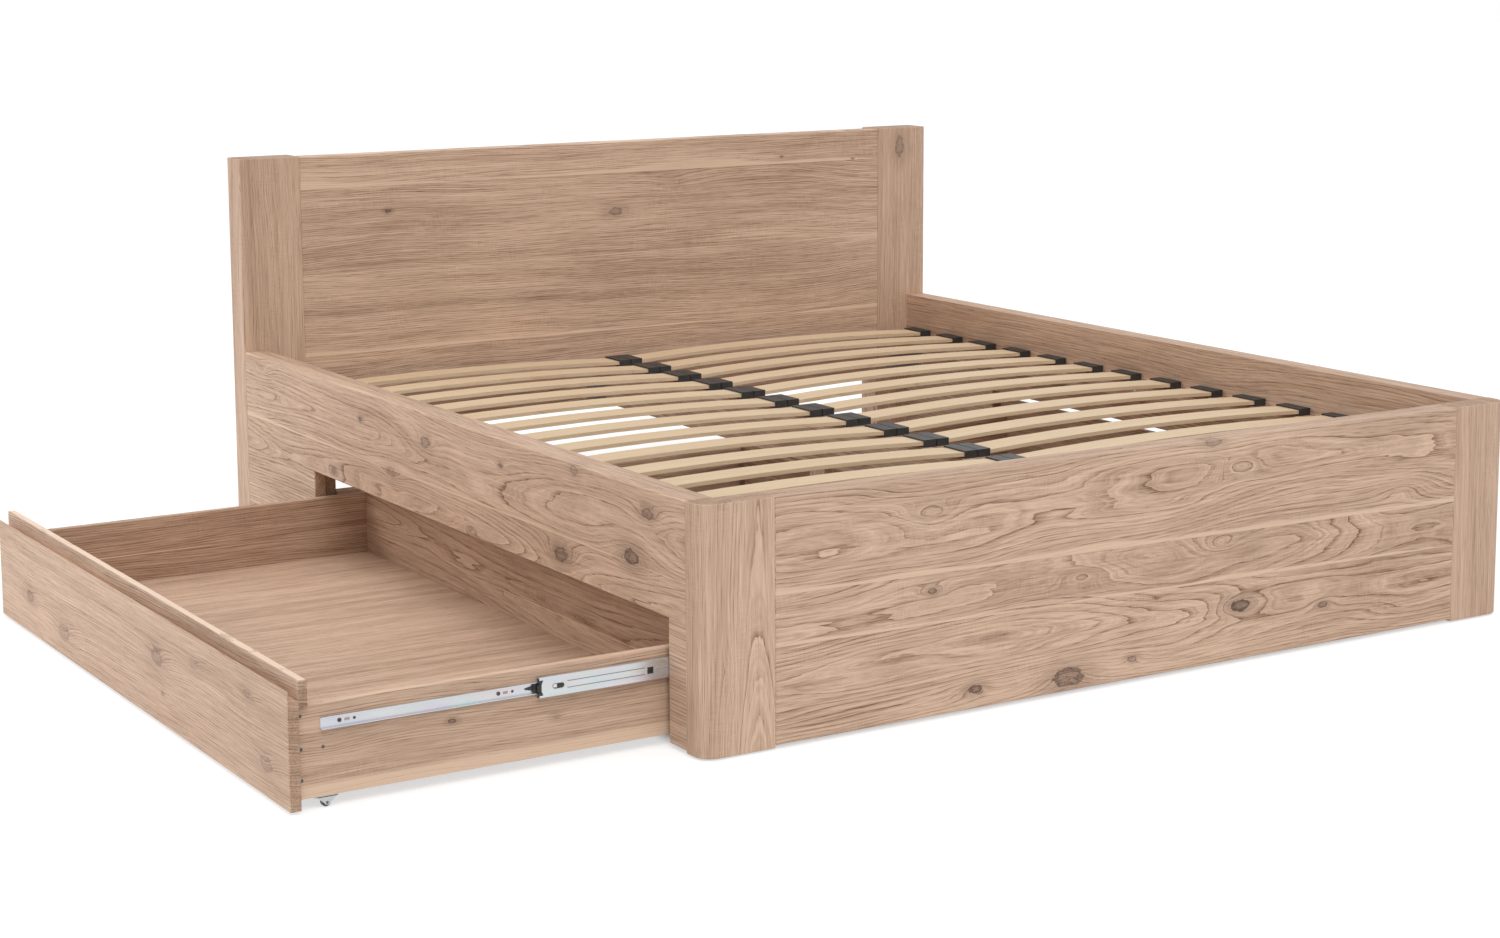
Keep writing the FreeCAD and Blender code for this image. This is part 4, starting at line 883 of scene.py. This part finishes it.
for word in SIDES:
    low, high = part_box("roller_forks_" + word)
    x, half, top = (low[0] + high[0]) / 2, (high[0] - low[0]) / 2, high[2]
    nose = [(x + NOSE_RADIUS * cos(radians(angle)), NOSE_HEIGHT + NOSE_RADIUS * sin(radians(angle)))
            for angle in range(200, 341, 20)]
    upper, lower = half - 0.002, half - 0.003
    cheek = [(x + upper, top - PLATE / 2), (x - upper, top - PLATE / 2), (x - lower, top - PLATE),
             *nose, (x + lower, top - PLATE)]
    axle = [(x + AXLE_RADIUS * cos(step * pi / 6), AXLE_HEIGHT + AXLE_RADIUS * sin(step * pi / 6))
            for step in range(12)]
    plate = rounded(x, top - PLATE / 2, half, PLATE / 2, 0.0006)
    shape, axle_heads = bmesh.new(), []
    for y in ROLLER_LINES:
        push_through(shape, plate, y - FORK_HALF, y + FORK_HALF)
        push_through(shape, cheek, y - FORK_HALF, y - CHEEK_INSIDE)
        push_through(shape, cheek, y + CHEEK_INSIDE, y + FORK_HALF)
        push_through(shape, axle, y - AXLE_HALF, y + AXLE_HALF)
        axle_heads += [((x, y + way * (AXLE_HALF + 0.0003), AXLE_HEIGHT), (0, way, 0))
                       for way in (-1, 1)]
    forks = finish_shape(shape, "forks_" + word, "drawer_" + word, milky)
    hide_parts("roller_forks_" + word)
    place_heads("axle_heads_" + word, "drawer_" + word, rivet_head, axle_heads,
                width=0.0048, height=0.0007, finish=burnished)
for helper in (pan_head, rivet_head):
    bpy.data.objects.remove(helper)

# %% [markdown]
# ## Roller wheels
#
# A wheel is turned: its section is drawn once, from the bore out to the tread and back, and
# swept round the axle. The tread has rounded shoulders, and both faces are dished, as a moulded
# wheel's are to keep its walls even. The section is in millimetres, as radius and half width.

# %% Turned wheels
MILLIMETRE = 0.001
ROLLER_DISTANCE = 0.069
SECTION = [(1.7, 4.5), (3.4, 4.5), (3.7, 4.1), (3.7, 3.2), (5.8, 3.0), (6.1, 4.1), (6.5, 4.4),
           (7.4, 4.3), (7.8, 3.8), (8.0, 2.6)]
SECTION += [(radius, -width) for radius, width in reversed(SECTION)]
SWEEP = 40


def wheel_ring(shape, x, y, radius, width):
    """One circle of corners round the axle."""
    angles = [step * 2 * pi / SWEEP for step in range(SWEEP)]
    return [shape.verts.new((x + radius * cos(angle), y + width, AXLE_HEIGHT + radius * sin(angle)))
            for angle in angles]


for word, (side, out) in SIDES.items():
    shape = bmesh.new()
    x = on_slide(side, out, ROLLER_DISTANCE)
    for y in ROLLER_LINES:
        rings = [wheel_ring(shape, x, y, radius * MILLIMETRE, width * MILLIMETRE)
                 for radius, width in SECTION]
        for ring, after in zip(rings, rings[1:] + rings[:1]):
            for step in range(SWEEP):
                shape.faces.new((ring[step], ring[step - 1], after[step - 1], after[step]))
    wheels = finish_shape(shape, "rollers_" + word, "wheels_" + word, wheel_white)
    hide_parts("roller_wheels_" + word)

# %% [markdown]
# ## Floor
#
# The picture is a cut-out on white. A floor that is simply white would throw too much light up
# at the bed. This one is lifted to white only for rays that come from the camera or from a
# shiny surface, and only away from the bed's footprint, so it stays dark under the bed.

# %% Floor
bpy.ops.mesh.primitive_plane_add(size=60, location=(0, 0, -0.0005))
floor = bpy.context.object
floor.name = "floor"
made, tree, shader = new_material("floor_paint")
shader.inputs["Roughness"].default_value = 1.0
shader.inputs["Specular IOR Level"].default_value = 0.0
shader.inputs["Emission Color"].default_value = (1, 1, 1, 1)
x, y, _ = split(tree.nodes.new("ShaderNodeTexCoord").outputs["Object"])
# The dark part fades out over half a metre behind the head end, and over 60 mm elsewhere
HALF_LENGTH, HALF_WIDTH = 1.0, 0.90
ends = (y * -1.0 - HALF_LENGTH).maths("MAXIMUM", (y - HALF_LENGTH) * 0.12)
outside = (abs(x) - HALF_WIDTH).maths("MAXIMUM", ends).ramp(0.0, 0.06)
rays = tree.nodes.new("ShaderNodeLightPath").outputs
seen = Field(rays["Is Camera Ray"]).maths("MAXIMUM", rays["Is Glossy Ray"])
lifted = seen * outside
pale_grey, mid_grey = (0.86, 0.86, 0.86, 1), (0.48, 0.48, 0.48, 1)
feed(shader.inputs["Base Color"], blend_colours(lifted, pale_grey, mid_grey))
feed(shader.inputs["Emission Strength"], lifted * 0.64)
floor.data.materials.append(made)
print("floor paint:", len(tree.nodes), "nodes")

# %% [markdown]
# ## Sky and lamps
#
# The studio's light is even, with one soft side. A sun with a wide angle from the front makes
# the shade inside the drawer and under the slats, a large weak lamp from behind on the left
# gives the headboard's end its light edge, and the sky fills in. A sun is used for the front
# because it lights both ends of a long bed alike.

# %% Sky and lamps
world = bpy.data.worlds.new("white_studio")
world.use_nodes = True
bpy.context.scene.world = world
tree = world.node_tree
rays = tree.nodes.new("ShaderNodeLightPath").outputs
seen = Field(rays["Is Camera Ray"]).maths("MAXIMUM", rays["Is Glossy Ray"])
seen = seen.maths("MAXIMUM", rays["Is Transmission Ray"])
tree.nodes["Background"].inputs["Color"].default_value = (1, 1, 1, 1)
feed(tree.nodes["Background"].inputs["Strength"], seen * 0.42 + 0.58)


def aim_lamp(name, light, place, target):
    made = bpy.data.objects.new(name, light)
    bpy.context.scene.collection.objects.link(made)
    made.location = place
    made.rotation_euler = (Vector(target) - Vector(place)).to_track_quat("-Z", "Y").to_euler()


key = bpy.data.lights.new("key", "SUN")
key.angle = radians(40)
key.energy = 1.22
aim_lamp("key", key, (-1.0, -3.2, 5.0), (0, 0, 0))
rear = bpy.data.lights.new("left_rear", "AREA")
rear.size = 2.5
rear.energy = 85
aim_lamp("left_rear", rear, (-5.5, 3.2, 3.0), (-0.9, 0.6, 0.3))
print("lamps:", key.name, key.energy, "and", rear.name, rear.energy)

# %% [markdown]
# ## Colour
#
# Product photographs are shown without film-like contrast, so the view transform is the plain one.

# %% Colour
bpy.context.scene.view_settings.view_transform = "Standard"
